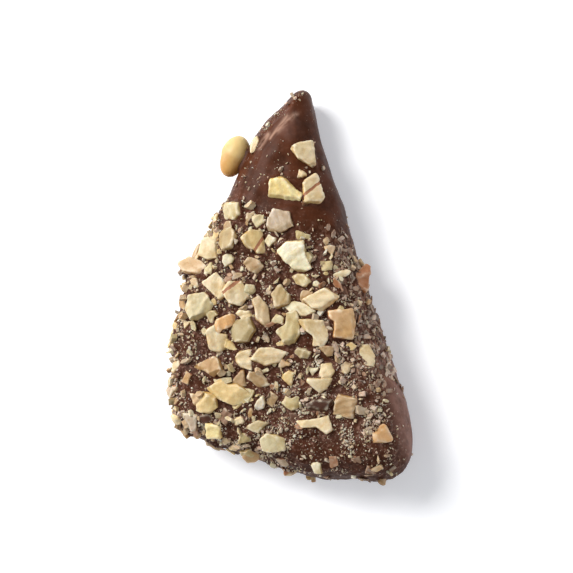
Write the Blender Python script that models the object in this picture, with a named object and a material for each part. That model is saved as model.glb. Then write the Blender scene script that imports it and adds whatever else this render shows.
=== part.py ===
"""A piece of chocolate-coated toffee with chopped nuts, lying on its back.

The slab is a rounded triangle, broken by hand and dipped in chocolate. Chopped nuts are pressed into
its upper face and its sides, and its tip and right-hand edge are left bare. It is one solid: the nuts
are fused to the coat. Lengths are in metres, +Z is up, +Y points to the tip of the triangle, and the
origin is in the flat base. Run it with: blender --background --python part.py
"""

import math
import random

import bmesh
import bpy
import numpy as np
from mathutils import Matrix, Vector, noise
from mathutils.bvhtree import BVHTree

MM = 0.001

# The slab. Its side is widest at the waist and rounds off above and below it.
THICKNESS = 12.4 * MM
WAIST = 5.2 * MM
TOP_ROUND = 6.4 * MM
BASE_ROUND = 3.0 * MM
TIP_DROP = 2.6 * MM
TIP_DROP_FROM = 8.0 * MM
TIP_DROP_TO = 33.0 * MM

# Corners of the outline as x, y and radius in mm, anticlockwise from the tip.
CORNERS = (
    (3.4, 34.9, 1.5),
    (-6.2, 24.9, 8.0),
    (-10.0, 14.6, 16.0),
    (-16.7, 3.5, 12.0),
    (-19.9, -10.0, 16.0),
    (-19.6, -24.9, 8.0),
    (5.0, -32.4, 22.0),
    (22.0, -33.2, 6.0),
    (20.9, -20.5, 14.0),
    (5.7, 24.8, 10.0),
)
OUTLINE_POINTS = 360
BEND_SHARE = 4.0 * MM  # a corner takes this much extra outline for each radian that it turns
MIDDLE = Vector((0.5 * MM, -4.0 * MM))
BALL_LEVEL = 5

# The coat's unevenness, as wavelength and height of each layer of relief.
RELIEF = ((11.0 * MM, 0.55 * MM), (4.2 * MM, 0.28 * MM), (1.9 * MM, 0.14 * MM))
RELIEF_FROM = 0.5 * MM  # the base is flat: the relief sets in above it
RELIEF_FULL = 3.0 * MM
BASE_BELOW = 0.005 * MM  # a face that lies lower than this belongs to the base

# The pieces of nut on the face that have a place of their own, the larger ones first: x, y, length and
# width in mm, turn in degrees, and form.
PLACED_NUTS = (
    (4.0, 21.4, 4.3, 4.6, 0, "tooth"),
    (1.4, 15.4, 6.1, 4.3, 0, "flag"),
    (5.7, 15.3, 3.7, 5.4, 0, "kite"),
    (0.8, 10.2, 4.4, 4.0, 0, "cheek"),
    (-7.6, 12.1, 4.1, 3.3, 0, "cheek"),
    (-8.2, 7.2, 3.7, 3.8, 10, "hexagon"),
    (-4.1, 6.8, 4.6, 4.2, 0, "shield"),
    (-11.8, 5.9, 4.3, 3.8, 90, "cheek"),
    (-3.8, 2.7, 3.8, 2.9, 0, "lens"),
    (3.2, 4.0, 6.2, 5.8, 0, "shield"),
    (4.5, 0.2, 3.6, 2.0, -10, "lens"),
    (13.1, 0.8, 5.8, 3.2, 80, "flag"),
    (-9.9, -0.6, 4.8, 3.4, -38, "square"),
    (-6.9, -1.7, 4.9, 4.2, -50, "cheek"),
    (-13.2, -4.0, 5.2, 4.8, 0, "hexagon"),
    (-2.3, -5.2, 6.0, 2.8, -65, "splinter"),
    (7.7, -3.2, 6.4, 4.0, 0, "leaf"),
    (4.1, -4.7, 5.8, 2.3, -8, "lens"),
    (-8.8, -6.7, 4.8, 2.6, 38, "splinter"),
    (-10.2, -9.1, 3.9, 5.0, 0, "ragged"),
    (-5.6, -8.0, 5.2, 4.1, 0, "hexagon"),
    (2.3, -7.6, 4.3, 5.8, 0, "pear"),
    (6.6, -8.6, 5.5, 4.6, 0, "hook"),
    (11.2, -7.1, 4.6, 5.4, 0, "boot"),
    (-5.5, -13.0, 3.2, 3.7, 0, "tooth"),
    (-1.2, -12.3, 6.4, 3.2, 17, "lens"),
    (15.0, -12.4, 4.4, 2.8, -52, "lens"),
    (-11.6, -14.1, 5.8, 3.6, 0, "fin"),
    (7.8, -17.3, 4.9, 2.8, 180, "triangle"),
    (-2.9, -16.4, 4.0, 2.4, -20, "splinter"),
    (-7.8, -18.1, 8.4, 4.3, -4, "boat"),
    (-11.7, -19.9, 4.1, 3.7, 0, "cheek"),
    (11.8, -20.5, 4.2, 4.1, -5, "square"),
    (6.4, -23.6, 6.0, 3.1, 0, "wing"),
    (-10.8, -24.4, 3.0, 3.0, 5, "square"),
    (-0.7, -26.6, 4.5, 3.3, -12, "cheek"),
    (-14.4, 2.9, 7.2, 2.9, -8, "lens"),
    (1.0, -2.4, 3.2, 3.7, 20, "kite"),
    (4.6, -11.9, 3.1, 2.1, 5, "lens"),
    (8.8, -15.0, 2.6, 2.9, 0, "hexagon"),
    (7.4, -20.5, 4.7, 2.4, 12, "splinter"),
    (-17.6, -14.3, 3.1, 2.1, 75, "fin"),
    (-14.7, -22.6, 3.9, 2.5, -55, "triangle"),
    (17.7, -25.0, 3.3, 3.2, 0, "kite"),
    (-5.2, -28.4, 3.2, 3.2, 0, "hexagon"),
    (3.9, 18.1, 1.8, 1.6, 20, "triangle"),
    (-8.3, 4.1, 2.2, 1.9, 30, "cheek"),
    (9.0, 5.0, 2.3, 2.1, 190, "triangle"),
    (8.6, 2.5, 1.9, 1.7, 10, "square"),
    (7.0, -0.3, 1.8, 1.3, -10, "triangle"),
    (10.5, 1.0, 4.0, 1.3, 22, "splinter"),
    (-5.4, -5.3, 2.9, 2.0, 15, "ragged"),
    (-2.0, -8.9, 2.2, 1.5, -25, "triangle"),
    (11.9, -14.3, 2.2, 2.0, 30, "hexagon"),
    (-2.5, -20.1, 3.2, 1.6, 70, "lens"),
    (2.8, -19.9, 3.4, 3.0, 35, "ragged"),
    (-8.7, -22.3, 2.4, 1.9, 60, "square"),
    (3.2, -22.6, 2.2, 1.6, -40, "lens"),
    (-3.1, -24.0, 4.2, 2.2, 5, "leaf"),
    (-12.1, -22.6, 2.0, 1.5, 20, "square"),
    (-15.3, -15.9, 2.2, 1.6, 70, "square"),
    (6.2, -14.6, 1.8, 1.7, 60, "triangle"),
    (-0.7, -19.5, 2.3, 1.9, 60, "square"),
    (-4.4, 23.6, 3.2, 1.6, 75, "splinter"),
    (10.2, -0.8, 2.6, 1.3, -55, "splinter"),
)

# Smaller pieces, spread by rule: how many, and the ranges of their length and of width to length.
SMALL_NUTS = 44
SMALL_LENGTH = (1.5 * MM, 2.8 * MM)
SMALL_WIDTH_SHARE = (0.60, 0.95)
SIDE_NUTS = 36
SIDE_LENGTH = (1.4 * MM, 3.6 * MM)
SIDE_WIDTH_SHARE = (0.55, 0.90)
SIDE_HEIGHT_SHARE = (0.40, 0.60)
SIDE_LEVEL = (2.2 * MM, 9.6 * MM)  # how high above the base they sit

# Where nuts lie less thickly. The tip is bare above a line and the right-hand edge is bare beyond one:
# each is given by where it crosses its axis, and its slope.
TIP_BARE = (9.5 * MM, -0.40)
RIGHT_BARE = (10.9 * MM, -0.30)
SPARSE_BEYOND = 24.0 * MM  # of x - y, at the lower right
SPARSE_SHARE = 0.35
SIDE_BARE_ABOVE = 12.0 * MM  # along y
SIDE_SPARSE_FROM = 4.0 * MM  # along x
SIDE_SPARSE_SHARE = 0.03
# Patches of the face that stay bare chocolate, as x, y and radius in mm.
OPEN_PATCHES = (
    (-14.0, -10.6, 3.2),
    (-2.6, 0.2, 2.2),
    (-0.4, 3.0, 1.8),
    (11.0, -1.0, 2.4),
    (4.3, -16.3, 1.8),
    (-0.2, -15.7, 2.0),
    (-8.6, -12.5, 1.3),
    (1.4, 1.8, 1.8),
)

EDGE_CLEARANCE = 1.2 * MM  # between the outline and a small piece on the face
TRIES = 24  # places tried for each small piece; the loneliest is taken
FACE_SEED = 11
SIDE_SEED = 23
OWN_SEEDS = 100  # each piece's own draw has a seed of its own, so many for each seed above

# A half kernel stands out from the left edge, below the tip.
KERNEL_AT = Vector((-7.4 * MM, 22.6 * MM, 6.0 * MM))
KERNEL_SIZE = (7.4 * MM, 5.0 * MM, 4.8 * MM)
KERNEL_OUT = 2.1 * MM  # from the side to the kernel's middle

# The forms that chopped pieces have, seen from above: the corners of each, anticlockwise, in a box that
# reaches 1 each way.
FORMS = {
    "square": ((-1.0, -0.8), (0.8, -1.0), (1.0, 0.7), (-0.8, 1.0)),
    "triangle": ((-1.0, -0.7), (0.9, -1.0), (1.0, -0.5), (0.0, 1.0)),
    "flag": ((-1.0, -0.7), (0.9, -1.0), (1.0, -0.5), (-0.1, 1.0), (-0.8, 0.8)),
    "kite": ((-0.9, -1.0), (0.7, -0.8), (1.0, -0.5), (0.4, 0.9), (0.1, 1.0), (-1.0, 0.4)),
    "cheek": ((-1.0, 0.1), (-0.9, -0.9), (0.2, -1.0), (1.0, -0.5), (0.8, 0.8), (-0.5, 1.0)),
    "hexagon": ((-1.0, -0.2), (-0.5, -1.0), (0.5, -0.9), (1.0, 0.0), (0.5, 1.0), (-0.6, 0.9)),
    "lens": ((-1.0, 0.2), (-0.4, -0.8), (0.4, -1.0), (1.0, -0.1), (0.3, 0.8), (-0.5, 1.0)),
    "splinter": ((-1.0, 0.5), (-0.9, -0.4), (0.4, -1.0), (1.0, -0.2), (0.8, 0.5), (-0.2, 1.0)),
    "leaf": ((-1.0, 0.1), (-0.4, -0.7), (0.2, -1.0), (0.6, -0.2), (1.0, 0.3), (0.2, 1.0)),
    "fin": ((-1.0, 0.0), (-0.1, -0.5), (0.5, -1.0), (1.0, -0.4), (0.8, 0.6), (0.4, 1.0)),
    "tooth": ((-1.0, 0.3), (-0.3, -0.5), (0.8, -1.0), (1.0, -0.8), (0.8, 0.1), (0.8, 1.0), (-0.4, 0.9)),
    "shield": ((-1.0, 0.3), (-0.5, -0.4), (0.3, -1.0), (1.0, -0.8), (0.8, 0.1), (0.6, 1.0), (-0.4, 0.9)),
    "wing": ((-1.0, 0.3), (-0.9, -0.5), (0.0, -0.3), (0.6, -1.0), (1.0, -0.6), (0.7, 1.0), (0.1, 0.7)),
    "boot": ((-1.0, 1.0), (-1.0, 0.4), (-0.4, 0.2), (-0.5, -0.9), (0.9, -1.0), (1.0, 0.2), (0.8, 1.0)),
    "hook": (
        (-1.0, 0.9), (-0.8, 0.3), (-0.2, -0.1), (-0.1, -0.8), (0.7, -1.0), (1.0, 0.0), (0.6, 0.9), (-0.5, 1.0)
    ),
    "pear": (
        (-1.0, -0.3), (-0.4, -1.0), (0.5, -1.0), (1.0, -0.3), (0.8, 0.4), (0.6, 1.0), (-0.2, 0.9), (-0.4, 0.3)
    ),
    "boat": (
        (-1.0, 0.1), (-0.7, -0.4), (0.2, -1.0), (1.0, -0.6), (0.9, 0.3), (0.3, 0.7), (0.0, 0.7), (-0.3, 1.0)
    ),
    "ragged": (
        (-1.0, 0.6), (-0.8, -0.1), (-0.6, -0.8), (0.1, -1.0), (0.9, -0.7), (0.8, 0.2), (0.2, 0.4), (-0.1, 1.0)
    ),
}
SMALL_FORMS = ("fin", "triangle", "flag", "kite", "cheek", "lens", "splinter", "tooth")
CORNER_PLAY = 0.10  # how far a corner may lie from its place in the form
UPPER_SHARE = (0.86, 0.98)  # the upper face's width as a share of the lower one's
STEEP = 0.20  # how steep the cut across the top may be
TOP_SHIFT = 0.08
TOP_LEVEL = 0.70
HEIGHT_SHARE = (0.38, 0.54)  # a piece's height as a share of its mean size in plan
SUNK_SHARE = 0.12  # how far a piece's middle stands above the coat, as a share of its height
LEAN = math.radians(14)
UPRIGHT = Vector((0, 0, 1))
LEVELLED = 0.35  # how far a piece on the face is turned from the coat's normal towards upright

FLOOR_SIZE = 150.0 * MM

COAT_COLOUR = (0.105, 0.045, 0.028, 1.0)
COAT_ROUGHNESS = 0.42
NUT_COLOUR = (0.66, 0.48, 0.26, 1.0)
NUT_ROUGHNESS = 0.55


def clear_scene():
    for thing in list(bpy.data.objects):
        bpy.data.objects.remove(thing)


def corner_arcs():
    """(start, middle of the arc, radius, first angle, angle turned) of each corner of the outline."""
    points = [Vector(corner[:2]) * MM for corner in CORNERS]
    for index, (x, y, radius) in enumerate(CORNERS):
        corner = Vector((x, y)) * MM
        before = (corner - points[index - 1]).normalized()
        after = (points[(index + 1) % len(points)] - corner).normalized()
        turned = math.atan2(before.cross(after), before.dot(after))
        radius *= MM
        start = corner - before * radius * math.tan(abs(turned) / 2)
        side = math.copysign(1.0, turned)
        middle = start + Vector((-before.y, before.x)) * radius * side
        first = math.atan2(start.y - middle.y, start.x - middle.x)
        yield start, middle, radius, first, turned


def outline(count):
    """Points round the slab's waist, closer together where it bends."""
    arcs = list(corner_arcs())
    pieces = []
    for index, (_, middle, radius, first, turned) in enumerate(arcs):
        last = first + turned
        end = middle + radius * Vector((math.cos(last), math.sin(last)))
        following = arcs[(index + 1) % len(arcs)][0]
        pieces.append(("arc", abs(turned) * (radius + BEND_SHARE), (middle, radius, first, turned)))
        pieces.append(("line", (following - end).length, (end, following)))
    whole = sum(length for _, length, _ in pieces)
    found = []
    piece, passed = 0, 0.0
    for step in range(count):
        along = whole * step / count
        while along > passed + pieces[piece][1]:
            passed += pieces[piece][1]
            piece += 1
        kind, length, shape = pieces[piece]
        share = (along - passed) / length
        if kind == "line":
            found.append(shape[0].lerp(shape[1], share))
        else:
            middle, radius, first, turned = shape
            angle = first + turned * share
            found.append(middle + radius * Vector((math.cos(angle), math.sin(angle))))
    return np.array(found)


def edge_distance(places, edge):
    """Distance from each plan point to the closed line through the edge's points."""
    start = edge[None, :, :]
    run = np.roll(edge, -1, axis=0)[None, :, :] - start
    reach = places[:, None, :] - start
    share = np.clip((reach * run).sum(-1) / (run * run).sum(-1), 0, 1)
    return np.linalg.norm(reach - share[..., None] * run, axis=-1).min(axis=1)


def smooth_step(value, low, high):
    share = np.clip((value - low) / (high - low), 0, 1)
    return share * share * (3 - 2 * share)


def quarter_round(depth, radius):
    """0 at the edge to 1 at radius inside it, along a quarter of an ellipse."""
    share = np.clip(depth / radius, 0, 1)
    return np.sqrt(1 - (1 - share) ** 2)


def press_ball(points, edge):
    """Moves the points of a unit ball to the slab's smooth surface, as if the ball were pressed flat."""
    turn = np.arctan2(points[:, 1], points[:, 0]) / (2 * math.pi) % 1.0
    place = turn * len(edge)
    first = np.floor(place).astype(int) % len(edge)
    share = (place - np.floor(place))[:, None]
    rim = edge[first] * (1 - share) + edge[(first + 1) % len(edge)] * share
    middle = np.array(MIDDLE)
    reach = np.hypot(points[:, 0], points[:, 1])[:, None]
    plan = middle + (rim - middle) * np.clip(reach, 0, 1)
    depth = edge_distance(plan, edge)
    face = THICKNESS - TIP_DROP * smooth_step(plan[:, 1], TIP_DROP_FROM, TIP_DROP_TO)
    above = WAIST + (face - WAIST) * quarter_round(depth, TOP_ROUND)
    below = WAIST - WAIST * quarter_round(depth, BASE_ROUND)
    height = np.where(points[:, 2] >= 0, above, below)
    return np.column_stack([plan, height])


def relief(place):
    """How far the coat stands out at a point, from a few layers of noise."""
    return sum(size * noise.noise(place / wave) for wave, size in RELIEF)


def slab(edge):
    """The coated slab without its nuts, as a bmesh with a flat base."""
    mesh = bmesh.new()
    bmesh.ops.create_icosphere(mesh, subdivisions=BALL_LEVEL, radius=1.0)
    ball = np.array([vertex.co for vertex in mesh.verts])
    for vertex, place in zip(mesh.verts, press_ball(ball, edge)):
        vertex.co = place
    mesh.normal_update()
    lift = [relief(v.co) * float(smooth_step(v.co.z, RELIEF_FROM, RELIEF_FULL)) for v in mesh.verts]
    outward = [v.normal.copy() for v in mesh.verts]
    for vertex, distance, normal in zip(mesh.verts, lift, outward):
        vertex.co += normal * distance
    base = [face for face in mesh.faces if max(v.co.z for v in face.verts) < BASE_BELOW]
    bmesh.ops.dissolve_faces(mesh, faces=base, use_verts=True)
    return mesh


def corner_moves(form, draw):
    """(even place, move) of each corner of an even prism, to give it a form with a little play."""
    corners = FORMS[form]
    for index, (x, y) in enumerate(corners):
        angle = 2 * math.pi * index / len(corners)
        even = Vector((-math.sin(angle), math.cos(angle), 0))
        play = Vector((draw.uniform(-CORNER_PLAY, CORNER_PLAY), draw.uniform(-CORNER_PLAY, CORNER_PLAY), 0))
        yield even, Vector((x, y, 0)) + play - even


def nut_mesh(form, draw):
    """One chopped piece, stretched so that it fills a box of two units each way."""
    count = len(FORMS[form])
    mesh = bmesh.new()
    bmesh.ops.create_cone(mesh, cap_ends=True, segments=count, radius1=1.0, radius2=1.0, depth=2.0)
    moves = list(corner_moves(form, draw))
    share = draw.uniform(*UPPER_SHARE)
    shift = Vector((draw.uniform(-TOP_SHIFT, TOP_SHIFT), draw.uniform(-TOP_SHIFT, TOP_SHIFT), 0))
    slope = Vector((draw.uniform(-STEEP, STEEP), draw.uniform(-STEEP, STEEP), 1))
    for vertex in mesh.verts:
        _, move = min(moves, key=lambda pair: (pair[0].xy - vertex.co.xy).length)
        vertex.co += move
        if vertex.co.z > 0:
            vertex.co.xy = vertex.co.xy * share + shift.xy
    parts = mesh.verts[:] + mesh.edges[:] + mesh.faces[:]
    top = bmesh.ops.bisect_plane(
        mesh, geom=parts, plane_co=(0, 0, TOP_LEVEL), plane_no=slope.normalized(), clear_outer=True
    )
    rim = [part for part in top["geom_cut"] if isinstance(part, bmesh.types.BMEdge)]
    bmesh.ops.contextual_create(mesh, geom=rim)
    low = Vector([min(v.co[axis] for v in mesh.verts) for axis in range(3)])
    high = Vector([max(v.co[axis] for v in mesh.verts) for axis in range(3)])
    for vertex in mesh.verts:
        vertex.co = Vector([(2 * vertex.co[i] - low[i] - high[i]) / (high[i] - low[i]) for i in range(3)])
    return mesh


def surface_frame(normal, turn, lean):
    """Axes of a piece that lies on the surface: its length turned by an angle, its height near the normal."""
    stand = UPRIGHT.rotation_difference(normal).to_matrix()
    tilt = Matrix.Rotation(lean[0], 3, "X") @ Matrix.Rotation(lean[1], 3, "Y")
    return stand @ Matrix.Rotation(turn, 3, "Z") @ tilt


def add_nut(home, name, mesh, place, axes, size):
    """Adds a piece of the given length, width and height, its middle at a place, to a collection."""
    stretch = Matrix.Diagonal([side / 2 for side in size])
    for vertex in mesh.verts:
        vertex.co = place + axes @ (stretch @ vertex.co)
    data = bpy.data.meshes.new(name)
    mesh.to_mesh(data)
    mesh.free()
    home.objects.link(bpy.data.objects.new(name, data))


def face_share(x, y):
    """How thickly nuts cover the face: none of the tip or the right-hand edge, little of the lower right."""
    if y > TIP_BARE[0] + TIP_BARE[1] * x or x > RIGHT_BARE[0] + RIGHT_BARE[1] * y:
        return 0.0
    if any(math.hypot(x - left * MM, y - up * MM) < radius * MM for left, up, radius in OPEN_PATCHES):
        return 0.0
    return SPARSE_SHARE if x - y > SPARSE_BEYOND else 1.0


def side_share(x, y):
    """How thickly nuts cover the side: all of it at the left, little at the right, none at the tip."""
    if y > SIDE_BARE_ABOVE:
        return 0.0
    return 1.0 if x < SIDE_SPARSE_FROM else SIDE_SPARSE_SHARE


def spread(count, taken, propose, share):
    """Places for small pieces: of each few proposed, the one with the most room where nuts lie thickly."""
    taken = list(taken)
    found = []
    while len(found) < count:
        tried = [propose() for _ in range(TRIES)]

        def room(place):
            return share(place.x, place.y) * min((place - other).length for other in taken)

        best = max(tried, key=room)
        taken.append(best)
        found.append(best)
    return found


def inside_by(edge, x, y):
    """Distance of a plan point from the outline, negative outside it."""
    following = np.roll(edge, -1, axis=0)
    above = (edge[:, 1] > y) != (following[:, 1] > y)
    rise = following[above, 1] - edge[above, 1]
    crossing = edge[above, 0] + (y - edge[above, 1]) / rise * (following[above, 0] - edge[above, 0])
    distance = float(edge_distance(np.array([[x, y]]), edge)[0])
    return distance if (crossing > x).sum() % 2 else -distance


def nuts_on_face(home, edge, surface):
    """The placed pieces, and the smaller ones among them."""
    draw = random.Random(FACE_SEED)
    pieces = []
    for x, y, length, width, turn, form in PLACED_NUTS:
        pieces.append((Vector((x, y)) * MM, length * MM, width * MM, math.radians(turn), form))
    low, high = edge.min(axis=0), edge.max(axis=0)

    def propose():
        while True:
            x, y = draw.uniform(low[0], high[0]), draw.uniform(low[1], high[1])
            if inside_by(edge, x, y) > EDGE_CLEARANCE:
                return Vector((x, y))

    taken = [piece[0] for piece in pieces]
    for place in spread(SMALL_NUTS, taken, propose, face_share):
        length = draw.uniform(*SMALL_LENGTH)
        width = length * draw.uniform(*SMALL_WIDTH_SHARE)
        pieces.append((place, length, width, draw.uniform(0, math.pi), draw.choice(SMALL_FORMS)))
    for index, (place, length, width, turn, form) in enumerate(pieces):
        own = random.Random(FACE_SEED * OWN_SEEDS + index)
        height = math.sqrt(length * width) * own.uniform(*HEIGHT_SHARE)
        lean = (own.uniform(-LEAN, LEAN), own.uniform(-LEAN, LEAN))
        hit, normal, _, _ = surface.ray_cast(Vector((*place, 2 * THICKNESS)), Vector((0, 0, -1)))
        axes = surface_frame(normal.lerp(UPRIGHT, LEVELLED), turn, lean)
        middle = hit + normal * height * SUNK_SHARE
        add_nut(home, f"face_nut_{index}", nut_mesh(form, own), middle, axes, (length, width, height))


def nuts_on_side(home, edge, surface):
    """Pieces round the slab's side, and the half kernel at its left."""
    draw = random.Random(SIDE_SEED)

    def propose():
        x, y = edge[draw.randrange(len(edge))]
        return Vector((x, y, draw.uniform(*SIDE_LEVEL)))

    for count, rim in enumerate(spread(SIDE_NUTS, [KERNEL_AT], propose, side_share)):
        own = random.Random(SIDE_SEED * OWN_SEEDS + count)
        place, normal = side_point(surface, rim)
        length = own.uniform(*SIDE_LENGTH)
        size = (length, length * own.uniform(*SIDE_WIDTH_SHARE), length * own.uniform(*SIDE_HEIGHT_SHARE))
        lean = (own.uniform(-LEAN, LEAN), own.uniform(-LEAN, LEAN))
        axes = surface_frame(normal, own.uniform(0, math.pi), lean)
        form = own.choice(SMALL_FORMS)
        middle = place + normal * size[2] * SUNK_SHARE
        add_nut(home, f"side_nut_{count}", nut_mesh(form, own), middle, axes, size)
    place, normal = side_point(surface, KERNEL_AT)
    along = UPRIGHT.cross(normal).normalized()
    axes = Matrix((along, normal, along.cross(normal))).transposed()
    kernel = bmesh.new()
    bmesh.ops.create_icosphere(kernel, subdivisions=2, radius=1.0)
    add_nut(home, "kernel", kernel, place + normal * KERNEL_OUT, axes, KERNEL_SIZE)


def side_point(surface, rim):
    """The point and outward normal of the side, level with a point at the outline."""
    inward = (MIDDLE - rim.xy).normalized().to_3d()
    hit, normal, _, _ = surface.ray_cast(rim - inward * THICKNESS, inward)
    return hit, normal


def plain_material(name, colour, roughness):
    material = bpy.data.materials.new(name)
    material.use_nodes = True
    shader = material.node_tree.nodes["Principled BSDF"]
    shader.inputs["Base Color"].default_value = colour
    shader.inputs["Roughness"].default_value = roughness
    shader.inputs["Metallic"].default_value = 0.0
    return material


def apply_modifiers(thing):
    """Bakes an object's modifiers into its mesh."""
    graph = bpy.context.evaluated_depsgraph_get()
    data = bpy.data.meshes.new_from_object(thing.evaluated_get(graph))
    thing.modifiers.clear()
    thing.data = data


def floor_block(material):
    """A block whose top is the plane of the base: what it cuts off would reach below the base."""
    bpy.ops.mesh.primitive_cube_add(size=FLOOR_SIZE, location=(0, 0, -FLOOR_SIZE / 2))
    block = bpy.context.object
    block.data.materials.append(material)
    return block


def build():
    clear_scene()
    edge = outline(OUTLINE_POINTS)
    mesh = slab(edge)
    surface = BVHTree.FromBMesh(mesh)
    data = bpy.data.meshes.new("pecan_toffee")
    mesh.to_mesh(data)
    mesh.free()
    coat = plain_material("milk_chocolate", COAT_COLOUR, COAT_ROUGHNESS)
    data.materials.append(coat)
    toffee = bpy.data.objects.new("pecan_toffee", data)
    bpy.context.scene.collection.objects.link(toffee)

    nuts = bpy.data.collections.new("nuts")
    bpy.context.scene.collection.children.link(nuts)
    nuts_on_face(nuts, edge, surface)
    nuts_on_side(nuts, edge, surface)
    nut_material = plain_material("chopped_nut", NUT_COLOUR, NUT_ROUGHNESS)
    for nut in nuts.objects:
        nut.data.materials.append(nut_material)
    fuse = toffee.modifiers.new("fuse_nuts", "BOOLEAN")
    fuse.operation = "UNION"
    fuse.operand_type = "COLLECTION"
    fuse.collection = nuts
    fuse.solver = "MANIFOLD"
    fuse.material_mode = "TRANSFER"
    apply_modifiers(toffee)
    for nut in list(nuts.objects):
        bpy.data.objects.remove(nut)
    bpy.data.collections.remove(nuts)

    block = floor_block(coat)
    level = toffee.modifiers.new("level_base", "BOOLEAN")
    level.operation = "DIFFERENCE"
    level.object = block
    level.solver = "MANIFOLD"
    level.material_mode = "TRANSFER"
    apply_modifiers(toffee)
    bpy.data.objects.remove(block)


build()
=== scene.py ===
"""The looks of a piece of chocolate-coated toffee with chopped nuts, lying on its back.

A milk chocolate coat, smooth at the tip and along the right-hand edge and rough with crumbs elsewhere,
holds chopped nuts on its face and its sides. Lengths are in metres and +Y points to the piece's tip.
"""

import math
import random

import bmesh
import bpy
import numpy as np
from mathutils import Matrix, Vector, noise
from mathutils.bvhtree import BVHTree


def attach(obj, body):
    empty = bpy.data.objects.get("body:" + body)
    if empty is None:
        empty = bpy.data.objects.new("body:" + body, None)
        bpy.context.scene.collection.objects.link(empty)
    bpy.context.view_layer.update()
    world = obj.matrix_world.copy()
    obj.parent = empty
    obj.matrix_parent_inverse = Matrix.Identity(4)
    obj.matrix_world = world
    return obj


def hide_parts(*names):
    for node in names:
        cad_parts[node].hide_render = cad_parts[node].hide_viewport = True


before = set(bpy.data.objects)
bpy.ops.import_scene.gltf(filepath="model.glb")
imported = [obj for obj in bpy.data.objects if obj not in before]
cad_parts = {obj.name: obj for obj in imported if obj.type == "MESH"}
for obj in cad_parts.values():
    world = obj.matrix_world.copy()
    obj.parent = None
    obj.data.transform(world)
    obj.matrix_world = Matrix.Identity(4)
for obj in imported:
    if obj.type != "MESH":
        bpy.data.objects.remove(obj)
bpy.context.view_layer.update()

MM = 0.001

# The slab, with the sizes of the solid that it stands for.
THICKNESS = 12.4 * MM
WAIST = 5.2 * MM
TOP_ROUND = 6.4 * MM
BASE_ROUND = 3.0 * MM
TIP_DROP = 2.6 * MM
TIP_DROP_FROM = 8.0 * MM
TIP_DROP_TO = 33.0 * MM

# Corners of the outline as x, y and radius in mm, anticlockwise from the tip.
CORNERS = (
    (3.4, 34.9, 1.5),
    (-6.2, 24.9, 8.0),
    (-10.0, 14.6, 16.0),
    (-16.7, 3.5, 12.0),
    (-19.9, -10.0, 16.0),
    (-19.6, -24.9, 8.0),
    (5.0, -32.4, 22.0),
    (22.0, -33.2, 6.0),
    (20.9, -20.5, 14.0),
    (5.7, 24.8, 10.0),
)
OUTLINE_POINTS = 360
BEND_SHARE = 4.0 * MM
MIDDLE = Vector((0.5 * MM, -4.0 * MM))
RELIEF = ((11.0 * MM, 0.55 * MM), (4.2 * MM, 0.28 * MM), (1.9 * MM, 0.14 * MM))
RELIEF_FROM = 0.5 * MM
RELIEF_FULL = 3.0 * MM
BALL_LEVEL = 7

# Ridges that the chocolate leaves along the tip's left edge: depth inside the outline, width, height.
TIP_RIDGES = ((2.8 * MM, 0.42 * MM, 0.30 * MM), (4.1 * MM, 0.50 * MM, 0.14 * MM))

# Pale streaks beside them, partly scuffed bloom and partly a painted highlight: from x, y to x, y in mm, and
# how wide.
TIP_STREAKS = (
    ((-0.2, 25.6), (2.6, 28.6), 0.42),
    ((-3.5, 23.0), (-2.1, 25.1), 0.46),
    ((-1.6, 24.4), (1.2, 28.2), 0.26),
)

# The melted coat: its voxel size, how far it is smoothed, and its fine relief, as the size and height of
# each pattern and the group of points that it is on.
COAT_VOXEL = 0.26 * MM
COAT_SMOOTH = 5
COAT_RELIEF = (
    (1.3 * MM, 0.42 * MM, "nutty"),
    (0.55 * MM, 0.16 * MM, "nutty"),
    (2.4 * MM, 0.12 * MM, "all_but_base"),
)
WEIGHT_STEPS = 20

# The collars that the chocolate forms round the nuts.
COLLAR_REACH = 0.45 * MM
COLLAR_PLAY = (0.7, 1.3)
COLLAR_HEIGHT = (0.18 * MM, 0.42 * MM)
COLLAR_HEIGHT_BARE = (0.12 * MM, 0.20 * MM)
COLLAR_TOP = 0.72  # the width of its top as a share of its foot's
COLLAR_ROUND = 0.3  # of half its width
COLLAR_SEED = 3

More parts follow.
